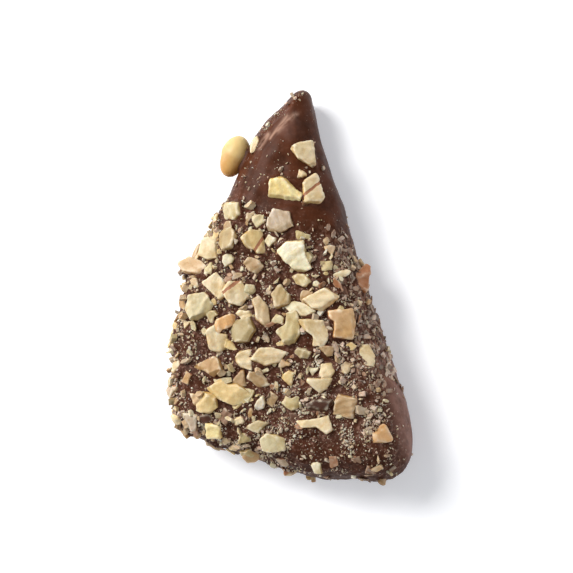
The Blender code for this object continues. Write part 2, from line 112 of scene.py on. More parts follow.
# Nut pieces with a place of their own: x, y, length and width in mm, turn in degrees, form and tone.
PLACED_NUTS = (
    (4.0, 21.4, 4.3, 4.6, 0, "tooth", "cream"),
    (1.4, 15.4, 6.1, 4.3, 0, "flag", "butter"),
    (5.7, 15.3, 3.7, 5.4, 0, "kite", "cream"),
    (0.8, 10.2, 4.4, 4.0, 0, "cheek", "rose"),
    (-7.6, 12.1, 4.1, 3.3, 0, "cheek", "green"),
    (-8.2, 7.2, 3.7, 3.8, 10, "hexagon", "wheat"),
    (-4.1, 6.8, 4.6, 4.2, 0, "shield", "yellow"),
    (-11.8, 5.9, 4.3, 3.8, 90, "cheek", "cream"),
    (-3.8, 2.7, 3.8, 2.9, 0, "lens", "tan"),
    (3.2, 4.0, 6.2, 5.8, 0, "shield", "ivory"),
    (4.5, 0.2, 3.6, 2.0, -10, "lens", "olive"),
    (13.1, 0.8, 5.8, 3.2, 80, "flag", "bark"),
    (-9.9, -0.6, 4.8, 3.4, -38, "square", "cream"),
    (-6.9, -1.7, 4.9, 4.2, -50, "cheek", "cream"),
    (-13.2, -4.0, 5.2, 4.8, 0, "hexagon", "green"),
    (-2.3, -5.2, 6.0, 2.8, -65, "splinter", "sand"),
    (7.7, -3.2, 6.4, 4.0, 0, "leaf", "cream"),
    (4.1, -4.7, 5.8, 2.3, -8, "lens", "pale"),
    (-8.8, -6.7, 4.8, 2.6, 38, "splinter", "apricot"),
    (-10.2, -9.1, 3.9, 5.0, 0, "ragged", "cream"),
    (-5.6, -8.0, 5.2, 4.1, 0, "hexagon", "khaki"),
    (2.3, -7.6, 4.3, 5.8, 0, "pear", "olive"),
    (6.6, -8.6, 5.5, 4.6, 0, "hook", "cream"),
    (11.2, -7.1, 4.6, 5.4, 0, "boot", "rust"),
    (-5.5, -13.0, 3.2, 3.7, 0, "tooth", "cream"),
    (-1.2, -12.3, 6.4, 3.2, 17, "lens", "cream"),
    (15.0, -12.4, 4.4, 2.8, -52, "lens", "cream"),
    (-11.6, -14.1, 5.8, 3.6, 0, "fin", "orange"),
    (7.8, -17.3, 4.9, 2.8, 180, "triangle", "cream"),
    (-2.9, -16.4, 4.0, 2.4, -20, "splinter", "tan"),
    (-7.8, -18.1, 8.4, 4.3, -4, "boat", "yellow"),
    (-11.7, -19.9, 4.1, 3.7, 0, "cheek", "yellow"),
    (11.8, -20.5, 4.2, 4.1, -5, "square", "tan"),
    (6.4, -23.6, 6.0, 3.1, 0, "wing", "cream"),
    (-10.8, -24.4, 3.0, 3.0, 5, "square", "butter"),
    (-0.7, -26.6, 4.5, 3.3, -12, "cheek", "green"),
    (-14.4, 2.9, 7.2, 2.9, -8, "lens", "peach"),
    (1.0, -2.4, 3.2, 3.7, 20, "kite", "wheat"),
    (4.6, -11.9, 3.1, 2.1, 5, "lens", "khaki"),
    (8.8, -15.0, 2.6, 2.9, 0, "hexagon", "cream"),
    (7.4, -20.5, 4.7, 2.4, 12, "splinter", "chestnut"),
    (-17.6, -14.3, 3.1, 2.1, 75, "fin", "sand"),
    (-14.7, -22.6, 3.9, 2.5, -55, "triangle", "rose"),
    (17.7, -25.0, 3.3, 3.2, 0, "kite", "apricot"),
    (-5.2, -28.4, 3.2, 3.2, 0, "hexagon", "orange"),
    (3.9, 18.1, 1.8, 1.6, 20, "triangle", "cream"),
    (-8.3, 4.1, 2.2, 1.9, 30, "cheek", "pale"),
    (9.0, 5.0, 2.3, 2.1, 190, "triangle", "peach"),
    (8.6, 2.5, 1.9, 1.7, 10, "square", "olive"),
    (7.0, -0.3, 1.8, 1.3, -10, "triangle", "ivory"),
    (10.5, 1.0, 4.0, 1.3, 22, "splinter", "cream"),
    (-5.4, -5.3, 2.9, 2.0, 15, "ragged", "cream"),
    (-2.0, -8.9, 2.2, 1.5, -25, "triangle", "rose"),
    (11.9, -14.3, 2.2, 2.0, 30, "hexagon", "sand"),
    (-2.5, -20.1, 3.2, 1.6, 70, "lens", "white"),
    (2.8, -19.9, 3.4, 3.0, 35, "ragged", "olive"),
    (-8.7, -22.3, 2.4, 1.9, 60, "square", "brown"),
    (3.2, -22.6, 2.2, 1.6, -40, "lens", "umber"),
    (-3.1, -24.0, 4.2, 2.2, 5, "leaf", "khaki"),
    (-12.1, -22.6, 2.0, 1.5, 20, "square", "chestnut"),
    (-15.3, -15.9, 2.2, 1.6, 70, "square", "orange"),
    (6.2, -14.6, 1.8, 1.7, 60, "triangle", "pale"),
    (-0.7, -19.5, 2.3, 1.9, 60, "square", "tan"),
    (-4.4, 23.6, 3.2, 1.6, 75, "splinter", "cream"),
    (10.2, -0.8, 2.6, 1.3, -55, "splinter", "bark"),
)
# Some of them have a brown line of skin where two halves meet: its direction on the face in degrees,
# and how far it lies from the piece's middle.
SKIN_LINES = {2: (42, 0.0 * MM), 6: (58, 1.2 * MM), 13: (38, -1.2 * MM)}
SKIN_LINE_WIDTH = 0.34 * MM

SMALL_NUTS = 44
SMALL_LENGTH = (1.5 * MM, 2.8 * MM)
SMALL_WIDTH_SHARE = (0.60, 0.95)
SIDE_NUTS = 36
SIDE_LENGTH = (1.4 * MM, 3.6 * MM)
SIDE_WIDTH_SHARE = (0.55, 0.90)
SIDE_HEIGHT_SHARE = (0.40, 0.60)
SIDE_LEVEL = (2.2 * MM, 9.6 * MM)

# Where nuts lie less thickly. The tip is bare above a line and the right-hand edge is bare beyond one:
# each is given by where it crosses its axis, and its slope.
TIP_BARE = (9.5 * MM, -0.40)
RIGHT_BARE = (10.9 * MM, -0.30)
SPARSE_BEYOND = 24.0 * MM  # of x - y, at the lower right
SPARSE_SHARE = 0.35
SIDE_BARE_ABOVE = 12.0 * MM  # along y
SIDE_SPARSE_FROM = 4.0 * MM  # along x
SIDE_SPARSE_SHARE = 0.03
# Where nuts and crumbs end at the right: how far out at a level of y, the slope, and a bulge there.
RIGHT_EDGE = 13.0 * MM
RIGHT_EDGE_LEVEL = -2.0 * MM
RIGHT_EDGE_SLOPE = 0.28
RIGHT_EDGE_BULGE = 1.8 * MM
# A spot of painted highlight and a dusty one near the tip: x, y and how far each reaches along x and y, in
# mm.
SHEEN_SPOT = (1.4, 26.4, 1.6, 2.4)
DUSTY_SPOT = (-1.8, 19.0, 3.6, 3.4)
# Patches of the face that stay bare chocolate, as x, y and radius in mm.
OPEN_PATCHES = (
    (-14.0, -10.6, 3.2),
    (-2.6, 0.2, 2.2),
    (-0.4, 3.0, 1.8),
    (11.0, -1.0, 2.4),
    (4.3, -16.3, 1.8),
    (-0.2, -15.7, 2.0),
    (-8.6, -12.5, 1.3),
    (1.4, 1.8, 1.8),
)
EDGE_CLEARANCE = 1.2 * MM
TRIES = 24
FACE_SEED = 11
SIDE_SEED = 23
OWN_SEEDS = 100
TONE_SEED = 5

KERNEL_AT = Vector((-7.4 * MM, 22.6 * MM, 6.0 * MM))
KERNEL_SIZE = (7.4 * MM, 5.0 * MM, 4.8 * MM)
KERNEL_OUT = 2.1 * MM
KERNEL_COLLAR = (2.7 * MM, 2.0 * MM, 1.0 * MM)  # half its length and width, and its height
KERNEL_RELIEF = (2.6 * MM, 0.16 * MM)
# Its narrower end: where it starts and over what reach, in halves of its length, and its share of the width.
TAPER_FROM = 0.35
TAPER_REACH = 0.6
TAPER = 0.9

# The forms that chopped pieces have, seen from above: the corners of each, anticlockwise, in a box that
# reaches 1 each way.
FORMS = {
    "square": ((-1.0, -0.8), (0.8, -1.0), (1.0, 0.7), (-0.8, 1.0)),
    "triangle": ((-1.0, -0.7), (0.9, -1.0), (1.0, -0.5), (0.0, 1.0)),
    "flag": ((-1.0, -0.7), (0.9, -1.0), (1.0, -0.5), (-0.1, 1.0), (-0.8, 0.8)),
    "kite": ((-0.9, -1.0), (0.7, -0.8), (1.0, -0.5), (0.4, 0.9), (0.1, 1.0), (-1.0, 0.4)),
    "cheek": ((-1.0, 0.1), (-0.9, -0.9), (0.2, -1.0), (1.0, -0.5), (0.8, 0.8), (-0.5, 1.0)),
    "hexagon": ((-1.0, -0.2), (-0.5, -1.0), (0.5, -0.9), (1.0, 0.0), (0.5, 1.0), (-0.6, 0.9)),
    "lens": ((-1.0, 0.2), (-0.4, -0.8), (0.4, -1.0), (1.0, -0.1), (0.3, 0.8), (-0.5, 1.0)),
    "splinter": ((-1.0, 0.5), (-0.9, -0.4), (0.4, -1.0), (1.0, -0.2), (0.8, 0.5), (-0.2, 1.0)),
    "leaf": ((-1.0, 0.1), (-0.4, -0.7), (0.2, -1.0), (0.6, -0.2), (1.0, 0.3), (0.2, 1.0)),
    "fin": ((-1.0, 0.0), (-0.1, -0.5), (0.5, -1.0), (1.0, -0.4), (0.8, 0.6), (0.4, 1.0)),
    "tooth": ((-1.0, 0.3), (-0.3, -0.5), (0.8, -1.0), (1.0, -0.8), (0.8, 0.1), (0.8, 1.0), (-0.4, 0.9)),
    "shield": ((-1.0, 0.3), (-0.5, -0.4), (0.3, -1.0), (1.0, -0.8), (0.8, 0.1), (0.6, 1.0), (-0.4, 0.9)),
    "wing": ((-1.0, 0.3), (-0.9, -0.5), (0.0, -0.3), (0.6, -1.0), (1.0, -0.6), (0.7, 1.0), (0.1, 0.7)),
    "boot": ((-1.0, 1.0), (-1.0, 0.4), (-0.4, 0.2), (-0.5, -0.9), (0.9, -1.0), (1.0, 0.2), (0.8, 1.0)),
    "hook": (
        (-1.0, 0.9), (-0.8, 0.3), (-0.2, -0.1), (-0.1, -0.8), (0.7, -1.0), (1.0, 0.0), (0.6, 0.9), (-0.5, 1.0)
    ),
    "pear": (
        (-1.0, -0.3), (-0.4, -1.0), (0.5, -1.0), (1.0, -0.3), (0.8, 0.4), (0.6, 1.0), (-0.2, 0.9), (-0.4, 0.3)
    ),
    "boat": (
        (-1.0, 0.1), (-0.7, -0.4), (0.2, -1.0), (1.0, -0.6), (0.9, 0.3), (0.3, 0.7), (0.0, 0.7), (-0.3, 1.0)
    ),
    "ragged": (
        (-1.0, 0.6), (-0.8, -0.1), (-0.6, -0.8), (0.1, -1.0), (0.9, -0.7), (0.8, 0.2), (0.2, 0.4), (-0.1, 1.0)
    ),
}
SMALL_FORMS = ("fin", "triangle", "flag", "kite", "cheek", "lens", "splinter", "tooth")
SAME_PLACE = 0.001  # how near two of a form's points count as one place
CORNER_PLAY = 0.10  # how far a corner may lie from its place in the form
UPPER_SHARE = (0.86, 0.98)  # the upper face's width as a share of the lower one's
STEEP = 0.20  # how steep the cut across the top may be
TOP_SHIFT = 0.08
TOP_LEVEL = 0.70
HEIGHT_SHARE = (0.38, 0.54)
RAISED = 0.12  # how far a piece's middle lies above the coat, as a share of its height
LEAN = math.radians(14)
UPRIGHT = Vector((0, 0, 1))
LEVELLED = 0.35  # how far a piece on the face is turned from the coat's normal towards upright

# How worn a chopped piece's edges are, and how uneven its faces.
NUT_VOXEL = 0.215 * MM
SMALL_NUT_VOXEL = 0.155 * MM
NUT_SOFTEN = 2
WEAR = 0.22 * MM  # what the softening takes off a piece's length, so it is added first
NUT_RELIEF = ((1.6 * MM, 0.28 * MM), (0.6 * MM, 0.12 * MM))  # the size and height of each pattern
FURROWS = (0.9 * MM, 0.16 * MM)  # across each piece: how far apart, and how deep
FURROW_BEND = (1.6 * MM, 0.5 * MM)  # how they wander: over what length, and how far
FURROW_RISE = 0.3  # how far the measure across them grows with height
ANYWHERE = 100  # in mm: each piece takes its furrows from its own place along the pattern
FACETS = (2, 3, 4)  # cut along the rim of a piece's upper face
FACET_TILT = (0.40, 0.95)  # radians from level
FACET_SHARE = (0.06, 0.24)  # of the piece's height
ROOF_CHANCE = 0.40  # that half of the upper face falls away from a crest
ROOF_TILT = (0.12, 0.34)
# Which points of a piece carry the painted highlight on its edges:
RIM_STEPS = 6  # how far round a point its edge is looked for
RIM = (0.03 * MM, 0.13 * MM)  # how far a point stands out from its surroundings on an edge

# Colours as they look in daylight, from 0 to 255: red, green and blue.
TONES = {
    "cream": (228, 208, 168),
    "pale": (228, 218, 186),
    "ivory": (253, 246, 214),
    "white": (230, 224, 208),
    "yellow": (222, 196, 140),
    "butter": (252, 234, 172),
    "green": (212, 198, 158),
    "olive": (200, 182, 134),
    "khaki": (178, 160, 118),
    "wheat": (180, 156, 110),
    "sand": (214, 190, 152),
    "peach": (214, 184, 146),
    "tan": (184, 154, 114),
    "rose": (202, 182, 158),
    "orange": (190, 152, 102),
    "apricot": (226, 178, 122),
    "rust": (214, 174, 124),
    "bark": (178, 122, 84),
    "skin": (150, 104, 72),
    "chestnut": (84, 48, 30),
    "dusty": (206, 178, 162),
    "brown": (150, 118, 96),
    "mauve": (148, 110, 90),
    "umber": (108, 74, 58),
}
LOOSE_TONES = ("cream", "pale", "yellow", "green", "olive", "sand", "peach", "tan", "tan", "rose", "orange")
DUST_TONES = ("white", "pale", "rose", "rose", "dusty", "dusty", "dusty", "sand", "brown")
FLAKE_TONES = ("skin", "skin", "bark", "brown")
SHAVING_TONES = ("mauve", "mauve", "dusty", "umber")
SKIN_TONES = ((128, 78, 50), (176, 120, 82))
SKIN_CHANCE = {"sand": 0.4, "peach": 0.4, "tan": 0.4, "rose": 0.4, "orange": 0.4, "bark": 0.4, "rust": 1.0}
KERNEL_TONES = ((230, 200, 136), (204, 150, 78))  # towards its two ends
MILK_CHOCOLATE = (82, 44, 27)
DARK_CHOCOLATE = (61, 32, 18)
DUSTED_CHOCOLATE = (122, 86, 72)
# The pale chocolate of a painted highlight on the tip and of painted light with some scuffing on the
# right-hand edge.
LIT_AND_WORN_CHOCOLATE = (146, 108, 96)
# The pale mottles: partly bloom, partly painted glints of the rough chocolate.
MOTTLED_CHOCOLATE = (142, 108, 94)
# The pale streaks on the tip: scuffed bloom and a painted highlight.
SCUFF_AND_HIGHLIGHT_CHOCOLATE = (160, 126, 108)
STREAK_ANGLE = math.radians(47)  # of the pale streaks on the tip's left half
SHAVED_ANGLE = math.radians(108)  # of the flaky streaks along the right-hand edge
TONE_DRIFT = np.array((0.20, 0.28, 0.55, 0.0))  # how much paler one end of a piece is than the other
DRIFT_RISE = 0.4  # how far that drift runs up a piece as well as along it
WALL_DEPTH = np.array((0.10, 0.24, 0.46, 0.0))  # how much darker its sides are than its face: painted shade, and partly the warmer colour of its outer surface
WALL_FACING = (0.25, 0.80)  # how far up a point looks: a side up to the first, the face from the second
BRIGHTNESS = (0.92, 1.06)
SKIN_FACING = (0.62, 0.80)  # how squarely a point looks towards the side that has the skin
LINE_FADE = (0.55 * SKIN_LINE_WIDTH, 0.9 * SKIN_LINE_WIDTH)
FLESH_SHARE = 0.88  # how much of the light that a tone's name stands for comes back from the nut itself
BLOTCH_STAIN = (0.78, 0.66, 0.46, 1)
FURROW_STAIN = (0.82, 0.72, 0.55, 1)
GRAIN_STAIN = (0.80, 0.70, 0.56, 1)
# The pale colour of the painted highlight along the nuts' edges.
RIM_HIGHLIGHT = (0.92, 0.84, 0.66, 1)
SATIN, DULL, STREAK_DULL = 0.36, 0.55, 0.72  # the chocolate's roughness: bare, among nuts, in the streaks

# Bits strewn on the coat: how many, their range of length, and the seed of their draw.
CHIPS = (115, (0.9 * MM, 2.0 * MM), 29)
COARSE_CRUMBS = (300, (0.5 * MM, 1.2 * MM), 31)
FINE_CRUMBS = (3600, (0.14 * MM, 0.52 * MM), 37)
SKIN_FLAKES = (120, (0.7 * MM, 2.4 * MM), 41)
SHAVINGS = (320, (0.45 * MM, 1.7 * MM), 43)
CHIPS_APART = 1.5 * MM
BIT_FORMS = ("square", "triangle", "hexagon", "splinter", "kite", "lens")
BIT_SEED = 41
BIT_WIDTH = (0.35, 1.0)
BIT_LEAN = 0.5
BIT_BRIGHTNESS = (0.85, 1.05)
BIT_RIM_HIGHLIGHT = 0.4  # how pale it is all over, as the nuts' painted edge highlight spread evenly
BIT_ABOVE = 3.0  # in mm: too far up for chocolate to cling to it
FLAT = 0.2  # a flake's thickness as a share of a crumb's
CRUMB_RAISED = 0.2  # how far its middle lies above the coat, as a share of its length
FLAKE_RAISED = 0.1
CLUSTER = 2.3 * MM  # the size of the patches that crumbs lie in
BETWEEN_CLUSTERS = 0.16

# The studio: the camera's lens, distance, turn and aim, the floor, and the light from all round.
LENS = 100
CAMERA_BACK = 0.270
CAMERA_TURN = (math.radians(4), math.radians(14), 0)
NEAREST = 0.01
AIM = Vector((0.3 * MM, -0.4 * MM, 6.5 * MM))
FLOOR_SIZE = 4
FLOOR_LEVEL = -0.02 * MM
SKY = (0.96, 0.98, 1.0, 1)
SKY_STRENGTH = 0.30
# The lamps: name, place, size, power and colour.
LAMPS = (
    ("key", (-0.38, 0.34, 0.50), 0.34, 5.9, (1.0, 0.99, 0.97)),
    ("side", (-0.46, 0.12, 0.17), 0.24, 0.9, (1.0, 0.99, 0.98)),
    ("fill", (0.46, -0.16, 0.30), 0.36, 0.8, (0.97, 0.98, 1.0)),
)


def linear(tone):
    """A daylight colour of 0 to 255 as linear light, with full alpha."""
    found = []
    for level in tone:
        share = level / 255
        found.append(share / 12.92 if share < 0.04045 else ((share + 0.055) / 1.055) ** 2.4)
    return (*found, 1.0)


def flesh_of(tone):
    """The light that comes back from a nut of a given tone."""
    return tuple(FLESH_SHARE * level for level in linear(tone)[:3]) + (1.0,)


def activate(piece):
    """Makes a piece the only selected and active one."""
    bpy.ops.object.select_all(action="DESELECT")
    piece.select_set(True)
    bpy.context.view_layer.objects.active = piece


def bake_modifiers(piece):
    activate(piece)
    for name in [modifier.name for modifier in piece.modifiers]:
        bpy.ops.object.modifier_apply(modifier=name)


def join(pieces, name):
    """Makes one named piece of several."""
    activate(pieces[0])
    for piece in pieces:
        piece.select_set(True)
    bpy.ops.object.join()
    pieces[0].name = name
    pieces[0].data.name = name
    return pieces[0]


def copy_of(piece):
    """A copy with a mesh of its own."""
    twin = piece.copy()
    twin.data = piece.data.copy()
    bpy.context.scene.collection.objects.link(twin)
    return twin


def read_points(piece, field):
    """Three numbers for each point of a piece."""
    found = np.empty(len(piece.data.vertices) * 3, np.float32)
    piece.data.vertices.foreach_get(field, found)
    return found.reshape(-1, 3).astype(float)


def points_of(piece):
    return read_points(piece, "co")


def normals_of(piece):
    return read_points(piece, "normal")


def move_points(piece, points):
    piece.data.vertices.foreach_set("co", np.asarray(points, np.float32).ravel())
    piece.data.update()


def paint(piece, name, values):
    """Stores a number or a colour with each point of a piece."""
    values = np.asarray(values, np.float32)
    kind, field = ("FLOAT", "value") if values.ndim == 1 else ("FLOAT_COLOR", "color")
    layer = piece.data.attributes.new(name, kind, "POINT")
    layer.data.foreach_set(field, values.ravel())


def pick_points(piece, wanted):
    """In edit mode, selects the points that pass a test, with the faces between them."""
    bpy.ops.mesh.select_all(action="DESELECT")
    mesh = bmesh.from_edit_mesh(piece.data)
    mesh.verts.index_update()
    for point in mesh.verts:
        point.select_set(wanted(point))
    mesh.select_flush(True)
    bmesh.update_edit_mesh(piece.data)


def tree_of(*pieces):
    """A tree of the pieces' faces, for rays to hit."""
    corners, faces = [], []
    for piece in pieces:
        start = len(corners)
        corners.extend(point.co.copy() for point in piece.data.vertices)
        faces.extend([start + corner for corner in face.vertices] for face in piece.data.polygons)
    return BVHTree.FromPolygons(corners, faces)


def melt(piece, voxel):
    """Makes one even skin of all that a piece holds."""
    skin = piece.modifiers.new("melt", "REMESH")
    skin.mode = "VOXEL"
    skin.voxel_size = voxel
    bake_modifiers(piece)


def soften(piece, steps):
    smooth = piece.modifiers.new("soften", "SMOOTH")
    smooth.factor = 0.5
    smooth.iterations = steps
    bake_modifiers(piece)


def roughen(piece, size, height, group=""):
    """Adds cloudy relief of a given size along the normals, to a named group of points or to all."""
    pattern = bpy.data.textures.new(f"{piece.name}_relief", "CLOUDS")
    pattern.noise_scale = size
    layer = piece.modifiers.new("relief", "DISPLACE")
    layer.texture = pattern
    layer.strength = height
    layer.mid_level = 0.5
    layer.vertex_group = group
    bake_modifiers(piece)


def weigh_points(piece, name, weights):
    """A vertex group whose weights are rounded to a few steps, so that points can be added in batches."""
    group = piece.vertex_groups.new(name=name)
    steps = np.rint(np.clip(weights, 0, 1) * WEIGHT_STEPS).astype(int)
    for step in range(1, WEIGHT_STEPS + 1):
        members = np.flatnonzero(steps == step).tolist()
        if members:
            group.add(members, step / WEIGHT_STEPS, "REPLACE")


# The outline of the slab


def corner_arcs():
    """(start, middle of the arc, radius, first angle, angle turned) of each corner of the outline."""
    points = [Vector(corner[:2]) * MM for corner in CORNERS]
    for index, (x, y, radius) in enumerate(CORNERS):
        corner = Vector((x, y)) * MM
        before = (corner - points[index - 1]).normalized()
        after = (points[(index + 1) % len(points)] - corner).normalized()
        turned = math.atan2(before.cross(after), before.dot(after))
        radius *= MM
        start = corner - before * radius * math.tan(abs(turned) / 2)
        side = math.copysign(1.0, turned)
        middle = start + Vector((-before.y, before.x)) * radius * side
        first = math.atan2(start.y - middle.y, start.x - middle.x)
        yield start, middle, radius, first, turned


def outline(count):
    """Points round the slab's waist, closer together where it bends."""
    arcs = list(corner_arcs())
    stretches = []
    for index, (_, middle, radius, first, turned) in enumerate(arcs):
        last = first + turned
        end = middle + radius * Vector((math.cos(last), math.sin(last)))
        following = arcs[(index + 1) % len(arcs)][0]
        stretches.append(("arc", abs(turned) * (radius + BEND_SHARE), (middle, radius, first, turned)))
        stretches.append(("line", (following - end).length, (end, following)))
    whole = sum(length for _, length, _ in stretches)
    found = []
    stretch, passed = 0, 0.0
    for step in range(count):
        along = whole * step / count
        while along > passed + stretches[stretch][1]:
            passed += stretches[stretch][1]
            stretch += 1
        kind, length, shape = stretches[stretch]
        share = (along - passed) / length
        if kind == "line":
            found.append(shape[0].lerp(shape[1], share))
        else:
            middle, radius, first, turned = shape
            angle = first + turned * share
            found.append(middle + radius * Vector((math.cos(angle), math.sin(angle))))
    return np.array(found)


def edge_distance(places, edge):
    """Distance from each plan point to the closed line through the edge's points."""
    start = edge[None, :, :]
    run = np.roll(edge, -1, axis=0)[None, :, :] - start
    found = []
    for batch in np.array_split(places, max(1, len(places) // 4000)):
        reach = batch[:, None, :] - start
        share = np.clip((reach * run).sum(-1) / (run * run).sum(-1), 0, 1)
        found.append(np.linalg.norm(reach - share[..., None] * run, axis=-1).min(axis=1))
    return np.concatenate(found)


def smooth_step(value, low, high):
    """0 below low to 1 above high, smoothly."""
    share = np.clip((value - low) / (high - low), 0, 1)
    return share * share * (3 - 2 * share)


def ramp(length, low, high):
    """The same, with low and high in millimetres."""
    return smooth_step(length, low * MM, high * MM)


def quarter_round(depth, radius):
    """0 at the edge to 1 at radius inside it, along a quarter of an ellipse."""
    share = np.clip(depth / radius, 0, 1)
    return np.sqrt(1 - (1 - share) ** 2)


# The coat


def press_ball(points, edge):
    """The smooth form of the slab, for the points of a unit ball, and their depth inside the outline."""
    turn = np.arctan2(points[:, 1], points[:, 0]) / (2 * math.pi) % 1.0
    place = turn * len(edge)
    first = np.floor(place).astype(int) % len(edge)
    share = (place - np.floor(place))[:, None]
    rim = edge[first] * (1 - share) + edge[(first + 1) % len(edge)] * share
    middle = np.array(MIDDLE)
    reach = np.hypot(points[:, 0], points[:, 1])[:, None]
    plan = middle + (rim - middle) * np.clip(reach, 0, 1)
    depth = edge_distance(plan, edge)
    face = THICKNESS - TIP_DROP * smooth_step(plan[:, 1], TIP_DROP_FROM, TIP_DROP_TO)
    above = WAIST + (face - WAIST) * quarter_round(depth, TOP_ROUND)
    below = WAIST - WAIST * quarter_round(depth, BASE_ROUND)
    height = np.where(points[:, 2] >= 0, above, below)
    return np.column_stack([plan, height]), depth


def relief(place):
    """How far the coat stands out at a point, from a few layers of noise."""
    return sum(size * noise.noise(place / wave) for wave, size in RELIEF)


def left_of_tip(points):
    """1 on the tip's left half, above the nuts, and 0 elsewhere."""
    x, y, _ = points.T
    up = ramp(y, 15, 20) * (1 - ramp(y, 31, 34))
    middle_line = 0.18 * (y - 15.0 * MM)
    return up * (1 - smooth_step(x, middle_line - 1.0 * MM, middle_line + 2.0 * MM))


def slab_blank(edge):
    """A ball pressed into the slab, with the coat's large unevenness and the ridges of its tip."""
    bpy.ops.mesh.primitive_ico_sphere_add(subdivisions=BALL_LEVEL, radius=1)
    blank = bpy.context.object
    points, depth = press_ball(points_of(blank), edge)
    move_points(blank, points)
    lift = np.array([relief(Vector(place)) for place in points])
    lift *= smooth_step(points[:, 2], RELIEF_FROM, RELIEF_FULL)
    on_top = smooth_step(points[:, 2], 1.1 * WAIST, 1.5 * WAIST) * left_of_tip(points)
    for inside, width, height in TIP_RIDGES:
        lift += height * on_top * np.exp(-(((depth - inside) / width) ** 2))
    move_points(blank, points + normals_of(blank) * lift[:, None])
    return blank


def collar():
    """A low block with sloping sides, which melts into a collar of chocolate round a nut."""
    bpy.ops.mesh.primitive_cube_add(size=2)
    block = bpy.context.object
    bpy.ops.object.mode_set(mode="EDIT")
    pick_points(block, lambda point: point.co.z > 0)
    bpy.ops.transform.resize(value=(COLLAR_TOP, COLLAR_TOP, 1), center_override=(0, 0, 0))
    bpy.ops.mesh.select_all(action="SELECT")
    bpy.ops.mesh.bevel(offset=COLLAR_ROUND, segments=2, affect="EDGES")
    bpy.ops.object.mode_set(mode="OBJECT")
    return block


def bare(place):
    """True on the smooth chocolate of the tip."""
    return place.y > TIP_BARE[0] + TIP_BARE[1] * place.x


def collars(nuts, kernel_axes):
    """A collar round the foot of each nut, and one round the half kernel's."""
    model = collar()
    draw = random.Random(COLLAR_SEED)
    rings = []
    for nut in nuts:
        length, width, _ = nut["size"]
        height = draw.uniform(*(COLLAR_HEIGHT_BARE if bare(nut["foot"]) else COLLAR_HEIGHT))
        reach = COLLAR_REACH * draw.uniform(*COLLAR_PLAY)
        ring = copy_of(model)
        stretch = Matrix.Diagonal((length / 2 + reach, width / 2 + reach, height, 1))
        ring.data.transform(Matrix.Translation(nut["foot"]) @ nut["seat"].to_4x4() @ stretch)
        rings.append(ring)
    model.data.transform(kernel_axes @ Matrix.Diagonal((*KERNEL_COLLAR, 1)))
    return [*rings, model]


def coat_of(blank, nuts, kernel_axes):
    """The slab with a collar round each nut, melted together, and roughened where the nuts lie."""
    coat = join([blank, *collars(nuts, kernel_axes)], "chocolate_coat")
    melt(coat, COAT_VOXEL)
    soften(coat, COAT_SMOOTH)
    points = points_of(coat)
    off_base = ramp(points[:, 2], 0.8, 2.0)
    weigh_points(coat, "nutty", nutty_share(points) * off_base)
    weigh_points(coat, "all_but_base", off_base)
    for size, height, group in COAT_RELIEF:
        roughen(coat, size, height, group)
    coat.vertex_groups.clear()
    paint(coat, "dust", speck_share(points))
    paint(coat, "nutty", nutty_share(points))
    # The tip's streaks, painted pale as scuffs and as a highlight.
    paint(coat, "scuff_and_highlight", tip_streaks(points))
    paint(coat, "rough", rough_share(points))
    # Where the bare chocolate is painted paler: a highlight on the tip, light and some scuffing along the
    # right-hand edge.
    paint(coat, "worn", lit_and_worn_share(points))
    paint(coat, "shaved", shaved_share(points))
    bpy.ops.object.shade_smooth()
    return coat


# Where things lie on the coat, as a share for each point


def right_edge(y):
    """Where nuts and crumbs end at the right: along a line that bulges where they reach down the side."""
    off_level = y - RIGHT_EDGE_LEVEL
    bulge = 1 - ramp(np.abs(off_level), 6, 14)
    return RIGHT_EDGE - RIGHT_EDGE_SLOPE * off_level + RIGHT_EDGE_BULGE * bulge


def soft_spot(points, left, up, wide, high):
    """1 in the middle of a spot, fading to 0 round it."""
    x, y, _ = points.T
    return np.exp(-(((x - left * MM) / (wide * MM)) ** 2) - ((y - up * MM) / (high * MM)) ** 2)


def nutty_share(points):
    """1 where nuts and crumbs cover the coat, 0 on the smooth chocolate."""
    x, y, _ = points.T
    return (1 - ramp(y + 0.40 * x, 8.5, 12.5)) * (1 - ramp(x - right_edge(y), -1.5, 1.0))


def rough_share(points):
    """How mottled the chocolate is: all below the tip, and on the wall at the tip's left."""
    x, y, _ = points.T
    return 1 - ramp(y + 0.5 * x, 7, 15) + tip_wall(points)


def lit_and_worn_share(points):
    """How pale the bare chocolate is painted: most on one patch of the tip's face, as a highlight, and along
    the right-hand edge, as light with some scuffing.
    """
    x, y, z = points.T
    edge = ramp(x - right_edge(y), -0.5, 1.5) * (1 - ramp(y, -8, 14))
    return 0.46 * soft_spot(points, *SHEEN_SPOT) + 0.66 * edge * ramp(z, 0, 6)


def chip_share(points):
    """How thickly chips lie: between the nuts, fewer at the lower right of the face."""
    x, y, z = points.T
    share = nutty_share(points) * ramp(z, 3, 8)
    for left, up, radius in OPEN_PATCHES:
        share *= ramp(np.hypot(x - left * MM, y - up * MM), 0.7 * radius, radius)
    return share * (1 - 0.8 * ramp(x - y, 18, 26))


def dust_share(points):
    """How thickly crumbs lie: most at the lower right of the face, fewer down the sides."""
    x, y, z = points.T
    share = 0.02 + 0.32 * nutty_share(points)
    share += 0.42 * ramp(x - y, 16, 28) * nutty_share(points)
    share += 0.25 * (1 - ramp(y, -24, -18)) * (1 - ramp(x, 0, 5))
    share += 0.60 * tip_wall(points)
    share += 0.10 * soft_spot(points, *DUSTY_SPOT)
    share *= 0.12 + 0.88 * ramp(z, 6, 11)
    share *= 1 - 0.85 * ramp(-y, 26.5, 30.5) * ramp(x, -2, 5)
    return np.clip(share, 0, 1) * ramp(z, 0.6, 1.6)


def speck_share(points):
    """How thickly specks too fine to model lie: as the crumbs, and a few everywhere."""
    return np.clip(dust_share(points) + 0.12, 0, 1)


